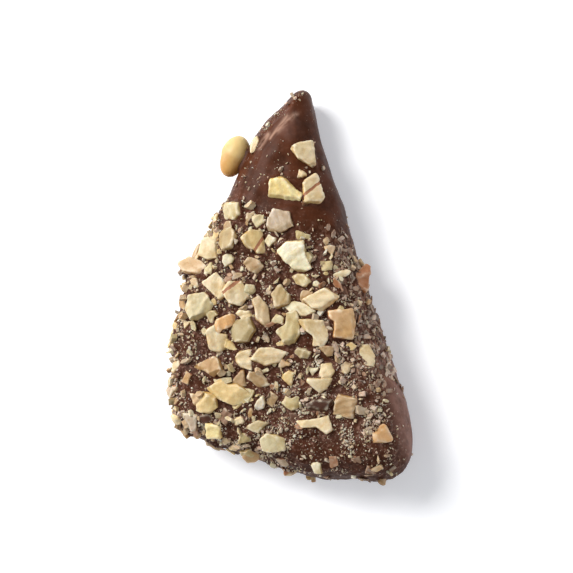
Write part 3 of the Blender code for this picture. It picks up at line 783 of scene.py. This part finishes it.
def shaved_share(points):
    """1 on the shoulder between the face and the right-hand side, which is scuffed into flakes."""
    x, y, z = points.T
    along = ramp(y, -20, -14) * (1 - ramp(y, 6, 11))
    return ramp(x - right_edge(y), -4.6, -2.6) * along * ramp(z, 4, 6.5)


def tip_wall(points):
    """1 on the side wall at the left of the tip, which is rubbed and dusty."""
    x, y, _ = points.T
    return ramp(y, 22, 25) * (1 - ramp(x - 0.95 * y, -27.6, -26.4))


def tip_streaks(points):
    """1 along the pale streaks beside the ridge between that side wall and the tip's face, painted as scuffs
    and as a highlight along the ridge.
    """
    share = np.zeros(len(points))
    for start, end, width in TIP_STREAKS:
        start, end = np.array(start) * MM, np.array(end) * MM
        reach = points[:, :2] - start
        along = (reach @ (end - start) / ((end - start) @ (end - start))).clip(0, 1)
        apart = np.linalg.norm(reach - np.outer(along, end - start), axis=1)
        share = np.maximum(share, np.exp(-((apart / (width * MM)) ** 2)))
    return share * smooth_step(points[:, 2], 1.2 * WAIST, 1.6 * WAIST)


def clustered(share):
    """A share of the coat, broken up into patches."""
    def patchy(points):
        lumps = np.array([noise.noise(Vector(place) / CLUSTER) for place in points])
        return share(points) * (BETWEEN_CLUSTERS + smooth_step(lumps, -0.15, 0.45))

    return patchy


# The nuts


def corner_moves(form, draw):
    """(even place, move) of each corner of an even prism, to give it a form with a little play."""
    corners = FORMS[form]
    for index, (x, y) in enumerate(corners):
        angle = 2 * math.pi * index / len(corners)
        even = Vector((-math.sin(angle), math.cos(angle), 0))
        play = Vector((draw.uniform(-CORNER_PLAY, CORNER_PLAY), draw.uniform(-CORNER_PLAY, CORNER_PLAY), 0))
        yield even, Vector((x, y, 0)) + play - even


def points_at(piece, place):
    """The numbers of the points that stand at a place, seen from above."""
    points = piece.data.vertices
    return [point.index for point in points if (point.co.xy - place.xy).length < SAME_PLACE]


def chop(form, draw):
    """A chopped piece, two units each way: a prism of a given form, cut across its top."""
    bpy.ops.mesh.primitive_cylinder_add(vertices=len(FORMS[form]), radius=1, depth=2)
    piece = bpy.context.object
    bpy.ops.object.mode_set(mode="EDIT")
    moves = list(corner_moves(form, draw))
    corners = [points_at(piece, even) for even, _ in moves]
    for corner, (_, move) in zip(corners, moves):
        pick_points(piece, lambda point: point.index in corner)
        bpy.ops.transform.translate(value=move)
    share = draw.uniform(*UPPER_SHARE)
    shift = (draw.uniform(-TOP_SHIFT, TOP_SHIFT), draw.uniform(-TOP_SHIFT, TOP_SHIFT), 0)
    slope = Vector((draw.uniform(-STEEP, STEEP), draw.uniform(-STEEP, STEEP), 1)).normalized()
    pick_points(piece, lambda point: point.co.z > 0)
    bpy.ops.transform.resize(value=(share, share, 1), center_override=(0, 0, 0))
    bpy.ops.transform.translate(value=shift)
    bpy.ops.mesh.select_all(action="SELECT")
    bpy.ops.mesh.bisect(plane_co=(0, 0, TOP_LEVEL), plane_no=slope, use_fill=True, clear_outer=True)
    bpy.ops.object.mode_set(mode="OBJECT")
    points = points_of(piece)
    low, high = points.min(axis=0), points.max(axis=0)
    move_points(piece, (2 * points - low - high) / (high - low))
    return piece


def surface_frame(normal, turn, lean):
    """Axes of a piece on the surface: its length turned by an angle, its height near the normal."""
    stand = UPRIGHT.rotation_difference(normal).to_matrix()
    tilt = Matrix.Rotation(lean[0], 3, "X") @ Matrix.Rotation(lean[1], 3, "Y")
    return stand @ Matrix.Rotation(turn, 3, "Z") @ tilt


def face_share(x, y):
    """How thickly nuts cover the face: none of the tip or the right-hand edge, little of the lower right."""
    if y > TIP_BARE[0] + TIP_BARE[1] * x or x > RIGHT_BARE[0] + RIGHT_BARE[1] * y:
        return 0.0
    if any(math.hypot(x - left * MM, y - up * MM) < radius * MM for left, up, radius in OPEN_PATCHES):
        return 0.0
    return SPARSE_SHARE if x - y > SPARSE_BEYOND else 1.0


def side_share(x, y):
    """How thickly nuts cover the side: all of it at the left, little at the right, none at the tip."""
    if y > SIDE_BARE_ABOVE:
        return 0.0
    return 1.0 if x < SIDE_SPARSE_FROM else SIDE_SPARSE_SHARE


def spread(count, taken, propose, share):
    """Places for small pieces: of each few proposed, the one with the most room where nuts lie thickly."""
    taken = list(taken)
    found = []
    while len(found) < count:
        tried = [propose() for _ in range(TRIES)]

        def room(place):
            return share(place.x, place.y) * min((place - other).length for other in taken)

        best = max(tried, key=room)
        taken.append(best)
        found.append(best)
    return found


def inside_by(edge, x, y):
    """Distance of a plan point from the outline, negative outside it."""
    following = np.roll(edge, -1, axis=0)
    above = (edge[:, 1] > y) != (following[:, 1] > y)
    rise = following[above, 1] - edge[above, 1]
    crossing = edge[above, 0] + (y - edge[above, 1]) / rise * (following[above, 0] - edge[above, 0])
    distance = float(edge_distance(np.array([[x, y]]), edge)[0])
    return distance if (crossing > x).sum() % 2 else -distance


def face_nuts(edge, surface):
    """What each nut on the face is: its foot on the coat, axes, size, shape, tone and own draw."""
    draw = random.Random(FACE_SEED)
    tones = random.Random(TONE_SEED)
    pieces = []
    for x, y, length, width, turn, shape, tone in PLACED_NUTS:
        pieces.append((Vector((x, y)) * MM, length * MM, width * MM, math.radians(turn), shape, tone))
    low, high = edge.min(axis=0), edge.max(axis=0)

    def propose():
        while True:
            x, y = draw.uniform(low[0], high[0]), draw.uniform(low[1], high[1])
            if inside_by(edge, x, y) > EDGE_CLEARANCE:
                return Vector((x, y))

    for place in spread(SMALL_NUTS, [piece[0] for piece in pieces], propose, face_share):
        length = draw.uniform(*SMALL_LENGTH)
        width = length * draw.uniform(*SMALL_WIDTH_SHARE)
        turn, shape = draw.uniform(0, math.pi), draw.choice(SMALL_FORMS)
        pieces.append((place, length, width, turn, shape, tones.choice(LOOSE_TONES)))
    for index, (place, length, width, turn, shape, tone) in enumerate(pieces):
        own = random.Random(FACE_SEED * OWN_SEEDS + index)
        height = math.sqrt(length * width) * own.uniform(*HEIGHT_SHARE)
        lean = (own.uniform(-LEAN, LEAN), own.uniform(-LEAN, LEAN))
        foot, normal, _, _ = surface.ray_cast(Vector((*place, 2 * THICKNESS)), Vector((0, 0, -1)))
        yield {
            "foot": foot,
            "normal": normal,
            "seat": surface_frame(normal, turn, lean),
            "axes": surface_frame(normal.lerp(UPRIGHT, LEVELLED), turn, lean),
            "size": (length, width, height),
            "shape": shape,
            "tone": tone,
            "turn": turn,
            "line": SKIN_LINES.get(index),
            "own": own,
        }


def side_point(surface, rim):
    """The point and outward normal of the side, level with a point at the outline."""
    inward = (MIDDLE - rim.xy).normalized().to_3d()
    foot, normal, _, _ = surface.ray_cast(rim - inward * THICKNESS, inward)
    return foot, normal


def side_nuts(edge, surface):
    """What each nut on the side is, as for the face."""
    draw = random.Random(SIDE_SEED)
    tones = random.Random(TONE_SEED + 1)

    def propose():
        x, y = edge[draw.randrange(len(edge))]
        return Vector((x, y, draw.uniform(*SIDE_LEVEL)))

    for count, rim in enumerate(spread(SIDE_NUTS, [KERNEL_AT], propose, side_share)):
        own = random.Random(SIDE_SEED * OWN_SEEDS + count)
        foot, normal = side_point(surface, rim)
        length = own.uniform(*SIDE_LENGTH)
        size = (length, length * own.uniform(*SIDE_WIDTH_SHARE), length * own.uniform(*SIDE_HEIGHT_SHARE))
        lean = (own.uniform(-LEAN, LEAN), own.uniform(-LEAN, LEAN))
        axes = surface_frame(normal, own.uniform(0, math.pi), lean)
        yield {
            "foot": foot,
            "normal": normal,
            "seat": axes,
            "axes": axes,
            "size": size,
            "shape": own.choice(SMALL_FORMS),
            "tone": tones.choice(LOOSE_TONES),
            "turn": 0.0,
            "line": None,
            "own": own,
        }


def cut_skin_line(piece, line, turn, height):
    """Cuts a narrow slot across the top of a piece, where the skin lies between two halves."""
    angle, aside = math.radians(line[0]) - turn, line[1]
    bpy.ops.mesh.primitive_cube_add(size=1)
    plate = bpy.context.object
    place = Matrix.Rotation(angle, 4, "Z") @ Matrix.Translation((0, -aside, 0.55 * height))
    plate.data.transform(place @ Matrix.Diagonal((20 * MM, SKIN_LINE_WIDTH, height, 1)))
    slot = piece.modifiers.new("slot", "BOOLEAN")
    slot.object = plate
    slot.operation = "DIFFERENCE"
    bake_modifiers(piece)
    bpy.data.objects.remove(plate)
    return place.inverted()


def cut_facets(points, height, own):
    """Flattens parts of a piece's upper rim, and often one side of its upper face."""
    points = points.copy()
    cuts = []
    for _ in range(own.choice(FACETS)):
        cuts.append((own.uniform(*FACET_TILT), own.uniform(*FACET_SHARE) * height))
    if own.random() < ROOF_CHANCE:
        cuts.append((own.uniform(*ROOF_TILT), None))
    for tilt, depth in cuts:
        aim = own.uniform(0, 2 * math.pi)
        facing = np.array((math.cos(aim) * math.sin(tilt), math.sin(aim) * math.sin(tilt), math.cos(tilt)))
        level = points @ facing
        if depth is None:
            crest = facing[2] * points[:, 2].max()
        else:
            crest = level.max() - depth
        points -= np.outer(np.clip(level - crest, 0, None), facing)
    return points


def furrow(piece, across):
    """Presses shallow wandering furrows into a piece, square to the direction of its measure across."""
    apart, deep = FURROWS
    over, far = FURROW_BEND
    points = points_of(piece)
    lift = []
    for place, measure in zip(points, across):
        bent = measure + far * noise.noise(Vector(place) / over)
        lift.append(deep * noise.noise(Vector((bent / apart, 0, 0))))
    move_points(piece, points + normals_of(piece) * np.array(lift)[:, None])


def rim_of(piece):
    """1 on the edges and corners of a piece and 0 on its faces, from how far each point stands out."""
    ends = np.empty(len(piece.data.edges) * 2, np.int32)
    piece.data.edges.foreach_get("vertices", ends)
    one, other = ends.reshape(-1, 2).T
    points = points_of(piece)
    around = points
    for _ in range(RIM_STEPS):
        total = [np.bincount(one, around[other, axis], len(points)) for axis in range(3)]
        total = np.add(total, [np.bincount(other, around[one, axis], len(points)) for axis in range(3)])
        around = (total / np.bincount(ends, minlength=len(points))).T
    return smooth_step(((points - around) * normals_of(piece)).sum(axis=1), *RIM)


def shape_nut(nut):
    """A worn nut at the origin, and what turns its points to its line of skin, if it has one."""
    length, _, height = nut["size"]
    piece = chop(nut["shape"], nut["own"])
    sides = [(side + WEAR) / 2 for side in nut["size"]]
    piece.data.transform(Matrix.Diagonal((*sides, 1)))
    to_line = None
    if nut["line"]:
        to_line = cut_skin_line(piece, nut["line"], nut["turn"], height)
    melt(piece, NUT_VOXEL if length > SMALL_LENGTH[1] else SMALL_NUT_VOXEL)
    move_points(piece, cut_facets(points_of(piece), height, nut["own"]))
    soften(piece, NUT_SOFTEN)
    return piece, to_line


def skin_share(nut, points, facing, to_line):
    """1 where skin clings: on one side, by the chance that its tone has, and along its line."""
    own = nut["own"]
    side = Vector((own.uniform(-1, 1), own.uniform(-1, 1), own.uniform(-0.1, 0.3))).normalized()
    skin = smooth_step(facing @ np.array(side), *SKIN_FACING)
    skin *= own.random() < SKIN_CHANCE.get(nut["tone"], 0.0)
    if to_line:
        apart = np.abs(points @ np.array(to_line.to_3x3())[1] + to_line.translation.y)
        skin = np.maximum(skin, 1 - smooth_step(apart, *LINE_FADE))
    return skin


def tone_of(nut, points, facing):
    """The colour at each point: paler towards one end, and darker and warmer on the sides, as painted shade.
    """
    own = nut["own"]
    brightness = own.uniform(*BRIGHTNESS)
    aim = own.uniform(0, 2 * math.pi)
    along = points @ (math.cos(aim), math.sin(aim), DRIFT_RISE) / nut["size"][0]
    drift = along.clip(-0.5, 0.5)[:, None] * TONE_DRIFT
    # The sides painted darker as shade, and a little warmer.
    wall = 1 - smooth_step(facing[:, 2], *WALL_FACING)[:, None]
    tone = np.array(flesh_of(TONES[nut["tone"]])) * (brightness, brightness, brightness, 1)
    return tone * (1 + drift) * (1 - wall * WALL_DEPTH)


def model_nut(nut):
    """One nut in its place, painted with its tone, its skin and how far each point is above the coat."""
    piece, to_line = shape_nut(nut)
    own = nut["own"]
    height = nut["size"][2]
    aim = own.uniform(0, math.pi)
    across = points_of(piece) @ (math.cos(aim), math.sin(aim), FURROW_RISE) + own.uniform(0, ANYWHERE) * MM
    paint(piece, "across", across / MM)
    facing = normals_of(piece)
    furrow(piece, across)
    points = points_of(piece)
    # How much each point gets of the painted highlight on the edges.
    paint(piece, "rim", rim_of(piece))
    paint(piece, "skin", skin_share(nut, points, facing, to_line))
    paint(piece, "above", (points[:, 2] + RAISED * height) / MM)
    paint(piece, "tone", tone_of(nut, points, facing))
    middle = nut["foot"] + nut["normal"] * height * RAISED
    piece.data.transform(Matrix.Translation(middle) @ nut["axes"].to_4x4())
    return piece


def nuts_piece(nuts, name):
    """All the nuts of one kind as one piece, with uneven, grainy faces."""
    piece = join([model_nut(nut) for nut in nuts], name)
    for size, height in NUT_RELIEF:
        roughen(piece, size, height)
    bpy.ops.object.shade_smooth()
    return piece


def kernel_seat(surface):
    """The half kernel's axes where it meets the side: along the side, up it, and outwards."""
    foot, normal = side_point(surface, KERNEL_AT)
    along = UPRIGHT.cross(normal).normalized()
    return Matrix.Translation(foot) @ Matrix((along, normal.cross(along), normal)).transposed().to_4x4()


def half_kernel(seat):
    """A smooth half kernel that stands out from the left edge, narrower towards its upper end."""
    bpy.ops.mesh.primitive_uv_sphere_add(segments=64, ring_count=40, radius=1)
    kernel = bpy.context.object
    bpy.ops.object.mode_set(mode="EDIT")
    pick_points(kernel, lambda point: point.co.x > TAPER_FROM)
    bpy.ops.transform.resize(
        value=(1, TAPER, TAPER),
        center_override=(TAPER_FROM, 0, 0),
        use_proportional_edit=True,
        proportional_size=TAPER_REACH,
    )
    bpy.ops.object.mode_set(mode="OBJECT")
    paint(kernel, "down", 0.5 + 0.5 * points_of(kernel)[:, 0])
    length, width, height = [side / 2 for side in KERNEL_SIZE]
    stretch = Matrix.Diagonal((length, height, width, 1))
    kernel.data.transform(seat @ Matrix.Translation((0, 0, KERNEL_OUT)) @ stretch)
    kernel.name = kernel.data.name = "half_kernel"
    roughen(kernel, *KERNEL_RELIEF)
    bpy.ops.object.shade_smooth()
    return kernel


# Crumbs and flakes


def crumb_models(draw, flat=1.0):
    """A few small chopped shapes, two units long, as arrays of points and triangles."""
    models = []
    for form in BIT_FORMS:
        piece = chop(form, draw)
        bpy.ops.object.mode_set(mode="EDIT")
        bpy.ops.mesh.select_all(action="SELECT")
        bpy.ops.mesh.quads_convert_to_tris()
        bpy.ops.object.mode_set(mode="OBJECT")
        points = points_of(piece) * (1, draw.uniform(0.6, 0.95), draw.uniform(0.5, 0.8) * flat)
        faces = np.array([face.vertices[:] for face in piece.data.polygons])
        models.append((points, faces))
        bpy.data.objects.remove(piece)
    return models


def sample_coat(coat, count, share, draw):
    """Random places on the coat and their normals, more of them where a share of each face is larger."""
    mesh = coat.data
    mesh.calc_loop_triangles()
    corners = np.empty(len(mesh.loop_triangles) * 3, np.int32)
    mesh.loop_triangles.foreach_get("vertices", corners)
    corners = points_of(coat)[corners.reshape(-1, 3)]
    cross = np.cross(corners[:, 1] - corners[:, 0], corners[:, 2] - corners[:, 0])
    area = np.linalg.norm(cross, axis=1)
    weight = area * share(corners.mean(axis=1))
    chosen = np.searchsorted(np.cumsum(weight) / weight.sum(), draw.random(count))
    mix = draw.dirichlet((1, 1, 1), count)
    places = (corners[chosen] * mix[:, :, None]).sum(axis=1)
    return places, cross[chosen] / area[chosen][:, None]


def open_places(coat, cover, count, share, apart, draw):
    """Random places on the coat that no nut lies over, so far apart."""
    found = []
    while len(found) < count:
        for place, normal in zip(*sample_coat(coat, count, share, draw)):
            covered = cover.ray_cast(Vector(place), Vector(normal), THICKNESS)[0] is not None
            if not covered and (not apart or all(math.dist(place, other) > apart for other, _ in found)):
                found.append((place, normal))
    return found[:count]


def strew(coat, cover, name, kind, models, tones, share, raised, apart=0.0):
    """Small copies of the models, strewn on the open coat as one piece."""
    count, (shortest, longest), seed = kind
    draw = np.random.default_rng(seed)
    points, faces, colours = [], [], []
    start = 0
    for place, normal in open_places(coat, cover, count, share, apart, draw):
        model_points, model_faces = models[draw.integers(len(models))]
        length = shortest + (longest - shortest) * draw.random() ** 2
        lean = draw.uniform(-BIT_LEAN, BIT_LEAN, 2)
        axes = np.array(surface_frame(Vector(normal), draw.uniform(0, 2 * math.pi), lean))
        shaped = model_points * (length / 2, length / 2 * draw.uniform(*BIT_WIDTH), length / 2)
        points.append(place + normal * raised * length + shaped @ axes.T)
        faces.append(model_faces + start)
        start += len(model_points)
        tone = TONES[tones[draw.integers(len(tones))]]
        tone = np.array(flesh_of(tone)) * draw.uniform(*BIT_BRIGHTNESS)
        colours.append(np.tile(tone, (len(model_points), 1)))
    data = bpy.data.meshes.new(name)
    data.from_pydata(np.concatenate(points).tolist(), [], np.concatenate(faces).tolist())
    piece = bpy.data.objects.new(name, data)
    bpy.context.scene.collection.objects.link(piece)
    paint(piece, "tone", np.concatenate(colours))
    paint(piece, "above", np.full(start, BIT_ABOVE))
    paint(piece, "skin", np.zeros(start))
    paint(piece, "rim", np.full(start, BIT_RIM_HIGHLIGHT))
    paint(piece, "across", draw.uniform(0, ANYWHERE, start))
    return piece


# Finishes


class Finish:
    """A material with a shader, and short ways to add the nodes that feed it."""

    def __init__(self, name):
        self.material = bpy.data.materials.new(name)
        self.material.use_nodes = True
        self.tree = self.material.node_tree
        self.shader = self.tree.nodes["Principled BSDF"]
        self.place = self.tree.nodes.new("ShaderNodeTexCoord").outputs["Object"]

    def set(self, **values):
        for name, value in values.items():
            self.shader.inputs[name.replace("_", " ")].default_value = value

    def feed(self, name, socket):
        self.tree.links.new(socket, self.shader.inputs[name])

    def node(self, kind, inputs, **settings):
        made = self.tree.nodes.new(kind)
        for name, value in settings.items():
            setattr(made, name, value)
        for name, value in inputs.items():
            if isinstance(value, bpy.types.NodeSocket):
                self.tree.links.new(value, made.inputs[name])
            else:
                made.inputs[name].default_value = value
        return made

    def clouds(self, size, detail=3.0, roughness=0.55):
        """Noise from 0 to 1 with lumps of a real size."""
        inputs = {"Vector": self.place, "Scale": 1 / size, "Detail": detail, "Roughness": roughness}
        return self.node("ShaderNodeTexNoise", inputs).outputs["Fac"]

    def streaks(self, size, angle, length, detail=3.0):
        """Noise from 0 to 1 in streaks of a real width, so many times as long, at an angle on the face."""
        mapping = {"Vector": self.place, "Rotation": (0, 0, angle), "Scale": (length, 1, 1)}
        along = self.node("ShaderNodeMapping", mapping, vector_type="TEXTURE").outputs["Vector"]
        inputs = {"Vector": along, "Scale": 1 / size, "Detail": detail}
        return self.node("ShaderNodeTexNoise", inputs).outputs["Fac"]

    def cells(self, size):
        """Cells of a real size, each with a colour and a distance from its middle."""
        inputs = {"Vector": self.place, "Scale": 1 / size}
        return self.node("ShaderNodeTexVoronoi", inputs)

    def stored(self, name, output="Fac"):
        return self.node("ShaderNodeAttribute", {}, attribute_name=name).outputs[output]

    def window(self, value, low, high):
        """0 below low to 1 above high, smoothly."""
        inputs = {"Value": value, "From Min": low, "From Max": high}
        return self.node("ShaderNodeMapRange", inputs, interpolation_type="SMOOTHSTEP").outputs["Result"]

    def span(self, value, low, high):
        """A value of 0 to 1 spread from low to high."""
        inputs = {"Value": value, "To Min": low, "To Max": high}
        return self.node("ShaderNodeMapRange", inputs).outputs["Result"]

    def patches(self, size, low, high, detail=3.0, roughness=0.55):
        """1 in cloudy patches of a real size and 0 between them."""
        return self.window(self.clouds(size, detail, roughness), low, high)

    def maths(self, operation, one, other):
        return self.node("ShaderNodeMath", {0: one, 1: other}, operation=operation).outputs[0]

    def times(self, one, other):
        return self.maths("MULTIPLY", one, other)

    def stray(self, value, size, reach, detail=3.0):
        """A value that strays up and down by a reach, over clouds of a real size."""
        return self.maths("ADD", value, self.span(self.clouds(size, detail), -reach, reach))

    def blend(self, share, one, other, how="MIX"):
        """Two colours mixed by a share."""
        inputs = {0: share, 6: one, 7: other}
        return self.node("ShaderNodeMix", inputs, data_type="RGBA", blend_type=how).outputs[2]

    def bump(self, height, distance, strength=1.0, under=None):
        inputs = {"Height": height, "Distance": distance, "Strength": strength}
        if under:
            inputs["Normal"] = under
        return self.node("ShaderNodeBump", inputs).outputs["Normal"]


def grey(level):
    return (level, level, level, 1)


def chocolate_finish():
    """Milk chocolate: satin where it is bare, dull and dusted with fine crumbs among the nuts."""
    coat = Finish("milk_chocolate")
    nutty, dust, scuff_and_highlight = coat.stored("nutty"), coat.stored("dust"), coat.stored("scuff_and_highlight")
    bloom = coat.patches(1.1 * MM, 0.48, 0.75, 5, 0.65)
    uneven = coat.span(coat.patches(1.8 * MM, 0.35, 0.65, 4), 0.60, 1.15)
    streaks = coat.window(coat.streaks(0.9 * MM, STREAK_ANGLE, 4.0), 0.30, 0.56)
    flaked = coat.times(coat.window(coat.streaks(0.42 * MM, SHAVED_ANGLE, 2.6), 0.46, 0.60), 0.65)
    mottle = coat.patches(0.55 * MM, 0.50, 0.72, 4, 0.6)
    colour = linear(MILK_CHOCOLATE)
    for share, tone in (
        (coat.patches(3.2 * MM, 0.35, 0.68, 4), DARK_CHOCOLATE),
        # Painted shade: the chocolate among the nuts darkened, as shade falls between them.
        (coat.times(nutty, 0.45), DARK_CHOCOLATE),
        (coat.times(bloom, coat.span(dust, 0.04, 0.85)), DUSTED_CHOCOLATE),
        # Painted highlight on the tip, and painted light with some scuffing along the right-hand edge.
        (coat.times(coat.stored("worn"), uneven), LIT_AND_WORN_CHOCOLATE),
        # Pale streaks on the tip: scuffed bloom and a painted highlight.
        (coat.times(scuff_and_highlight, streaks), SCUFF_AND_HIGHLIGHT_CHOCOLATE),
        (coat.times(coat.stored("shaved"), flaked), TONES["mauve"]),
        # Pale mottles on the rough chocolate: partly bloom, partly painted glints.
        (coat.times(mottle, coat.span(coat.stored("rough"), 0.05, 0.62)), MOTTLED_CHOCOLATE),
    ):
        colour = coat.blend(share, colour, linear(tone))
    specks = coat.cells(0.34 * MM)
    lit = coat.node("ShaderNodeSeparateColor", {"Color": specks.outputs["Color"]}).outputs[0]
    chosen = coat.maths("LESS_THAN", lit, coat.times(dust, 0.42))
    round_dots = coat.span(coat.window(specks.outputs["Distance"], 0.16, 0.34), 1.0, 0.0)
    speck = coat.times(chosen, round_dots)
    colour = coat.blend(coat.times(speck, coat.clouds(0.9 * MM, 2)), colour, flesh_of(TONES["rose"]))
    coat.feed("Base Color", colour)
    roughness = coat.blend(nutty, grey(SATIN), grey(DULL))
    roughness = coat.blend(scuff_and_highlight, roughness, grey(STREAK_DULL))
    coat.feed("Roughness", coat.stray(roughness, 0.9 * MM, 0.07))
    coarse = coat.bump(coat.clouds(0.8 * MM, 4, 0.6), 0.05 * MM, coat.span(nutty, 0.25, 1.0))
    fine = coat.bump(coat.clouds(0.16 * MM, 3), 0.012 * MM, coat.span(nutty, 0.3, 0.8), coarse)
    coat.feed("Normal", coat.bump(speck, 0.06 * MM, 0.8, fine))
    coat.feed("Specular IOR Level", coat.span(nutty, 0.08, 0.16))
    coat.set(IOR=1.40, Subsurface_Weight=0.06)
    coat.set(Subsurface_Radius=(1.0, 0.45, 0.25), Subsurface_Scale=0.5 * MM)
    return coat.material


def nut_finish():
    """Chopped nut: each piece's own tone, blotched and grained, with a painted highlight on its edges, brown
    where skin or chocolate clings.
    """
    nut = Finish("chopped_nut")
    tone = nut.stored("tone", "Color")
    across = nut.stray(nut.stored("across"), 1.2 * MM, 1.2, 2)
    ridge = nut.node("ShaderNodeTexNoise", {"W": across, "Scale": 2.6, "Detail": 2.0}, noise_dimensions="1D")
    ridge = ridge.outputs["Fac"]
    colour = tone
    for share, stain in (
        (nut.times(nut.patches(1.5 * MM, 0.38, 0.70), 0.7), BLOTCH_STAIN),
        (nut.times(nut.window(ridge, 0.45, 0.65), 0.30), FURROW_STAIN),
        (nut.times(nut.patches(0.22 * MM, 0.42, 0.72, 4, 0.7), 0.30), GRAIN_STAIN),
    ):
        colour = nut.blend(share, colour, stain, "MULTIPLY")
    # Painted highlight along the nuts' edges, paler where they catch the light.
    rim = nut.times(nut.stored("rim"), nut.span(nut.patches(0.8 * MM, 0.35, 0.65), 0.10, 0.72))
    colour = nut.blend(rim, colour, nut.blend(0.7, tone, RIM_HIGHLIGHT))
    skin = nut.stray(nut.stored("skin"), 0.5 * MM, 0.45, 4)
    skin_colour = nut.blend(nut.clouds(0.7 * MM), *map(linear, SKIN_TONES))
    colour = nut.blend(nut.window(skin, 0.42, 0.60), colour, skin_colour)
    low = nut.stray(nut.stored("above"), 0.6 * MM, 0.5, 4)
    smear = nut.span(nut.window(low, 0.05, 0.46), 0.9, 0.0)
    colour = nut.blend(smear, colour, linear(MILK_CHOCOLATE))
    nut.feed("Base Color", colour)
    nut.feed("Roughness", nut.span(nut.clouds(0.8 * MM, 3), 0.45, 0.68))
    coarse = nut.bump(nut.clouds(0.45 * MM, 4, 0.6), 0.05 * MM)
    ridged = nut.bump(ridge, 0.035 * MM, 0.8, coarse)
    nut.feed("Normal", nut.bump(nut.clouds(0.12 * MM, 2), 0.014 * MM, 0.8, ridged))
    nut.set(IOR=1.45, Subsurface_Weight=0.22, Subsurface_Radius=(1.0, 0.62, 0.34), Subsurface_Scale=0.7 * MM)
    return nut.material


def kernel_finish():
    """Smooth roasted half kernel, golden, deeper towards its lower end."""
    kernel = Finish("roasted_kernel")
    down = kernel.stray(kernel.stored("down"), 2.4 * MM, 0.35)
    kernel.feed("Base Color", kernel.blend(kernel.window(down, 0.15, 0.95), *map(flesh_of, KERNEL_TONES)))
    kernel.feed("Roughness", kernel.span(kernel.clouds(0.9 * MM), 0.36, 0.52))
    kernel.feed("Normal", kernel.bump(kernel.clouds(0.5 * MM, 4), 0.03 * MM))
    kernel.set(IOR=1.46, Subsurface_Weight=0.2, Subsurface_Radius=(1.0, 0.6, 0.3), Subsurface_Scale=0.8 * MM)
    return kernel.material


def finish_piece(piece, material):
    """Keeps a piece above the floor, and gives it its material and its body."""
    points = points_of(piece)
    points[:, 2] = points[:, 2].clip(0, None)
    move_points(piece, points)
    piece.data.materials.clear()
    piece.data.materials.append(material)
    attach(piece, "root")


# The studio


def white_floor():
    """A matte floor that glows faintly, so that it stays pale."""
    bpy.ops.mesh.primitive_plane_add(size=FLOOR_SIZE, location=(0, 0, FLOOR_LEVEL))
    floor = bpy.context.object
    floor.name = "floor"
    paper = Finish("white_floor")
    paper.set(Base_Color=(0.88, 0.88, 0.90, 1), Roughness=0.9)
    paper.set(Emission_Color=(0.93, 0.95, 1.0, 1), Emission_Strength=0.28)
    floor.data.materials.append(paper.material)


def sky():
    """Soft light from all round."""
    world = bpy.data.worlds.new("studio")
    world.use_nodes = True
    background = world.node_tree.nodes["Background"]
    background.inputs["Color"].default_value = SKY
    background.inputs["Strength"].default_value = SKY_STRENGTH
    bpy.context.scene.world = world


def hang_lamp(name, place, size, power, colour):
    """A square soft light that looks at the piece."""
    lamp = bpy.data.lights.new(name, "AREA")
    lamp.size = size
    lamp.energy = power
    lamp.color = colour
    holder = bpy.data.objects.new(name, lamp)
    holder.location = place
    holder.rotation_euler = Vector(place).to_track_quat("Z", "Y").to_euler()
    bpy.context.scene.collection.objects.link(holder)


def set_camera():
    """The camera looks down on the face, from a little to the right and below."""
    lens = bpy.data.cameras.new("camera")
    lens.lens = LENS
    lens.clip_start = NEAREST
    camera = bpy.data.objects.new("camera", lens)
    camera.rotation_euler = CAMERA_TURN
    back = camera.rotation_euler.to_matrix() @ UPRIGHT
    camera.location = AIM + back * CAMERA_BACK
    bpy.context.scene.collection.objects.link(camera)
    bpy.context.scene.camera = camera


def studio():
    """A white floor, a large soft light from the upper left, a fill from the right, and the camera."""
    white_floor()
    sky()
    for lamp in LAMPS:
        hang_lamp(*lamp)
    set_camera()
    bpy.context.scene.view_settings.view_transform = "Standard"


def build():
    """Models each piece, gives it its finish and the body that carries it, and hides the part that the pieces
    replace.
    """
    edge = outline(OUTLINE_POINTS)
    blank = slab_blank(edge)
    surface = tree_of(blank)
    on_face = list(face_nuts(edge, surface))
    on_side = list(side_nuts(edge, surface))
    seat = kernel_seat(surface)
    coat = coat_of(blank, on_face + on_side, seat)
    nuts = nuts_piece(on_face, "face_nuts")
    rim_nuts = nuts_piece(on_side, "edge_nuts")
    kernel = half_kernel(seat)

    draw = random.Random(BIT_SEED)
    lumps = crumb_models(draw)
    flat = crumb_models(draw, FLAT)
    cover = tree_of(nuts, rim_nuts, kernel)
    crumbly = clustered(dust_share)
    strewn = [
        strew(coat, cover, *bits)
        for bits in (
            ("nut_chips", CHIPS, lumps, LOOSE_TONES, chip_share, CRUMB_RAISED, CHIPS_APART),
            ("coarse_crumbs", COARSE_CRUMBS, lumps, DUST_TONES, crumbly, CRUMB_RAISED),
            ("fine_crumbs", FINE_CRUMBS, lumps, DUST_TONES, crumbly, CRUMB_RAISED),
            ("skin_flakes", SKIN_FLAKES, flat, FLAKE_TONES, nutty_share, FLAKE_RAISED),
            ("shavings", SHAVINGS, flat, SHAVING_TONES, shaved_share, FLAKE_RAISED),
        )
    ]

    finish_piece(coat, chocolate_finish())
    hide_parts("pecan_toffee")
    nut_material = nut_finish()
    for piece in (nuts, rim_nuts, *strewn):
        finish_piece(piece, nut_material)
    finish_piece(kernel, kernel_finish())


build()
studio()
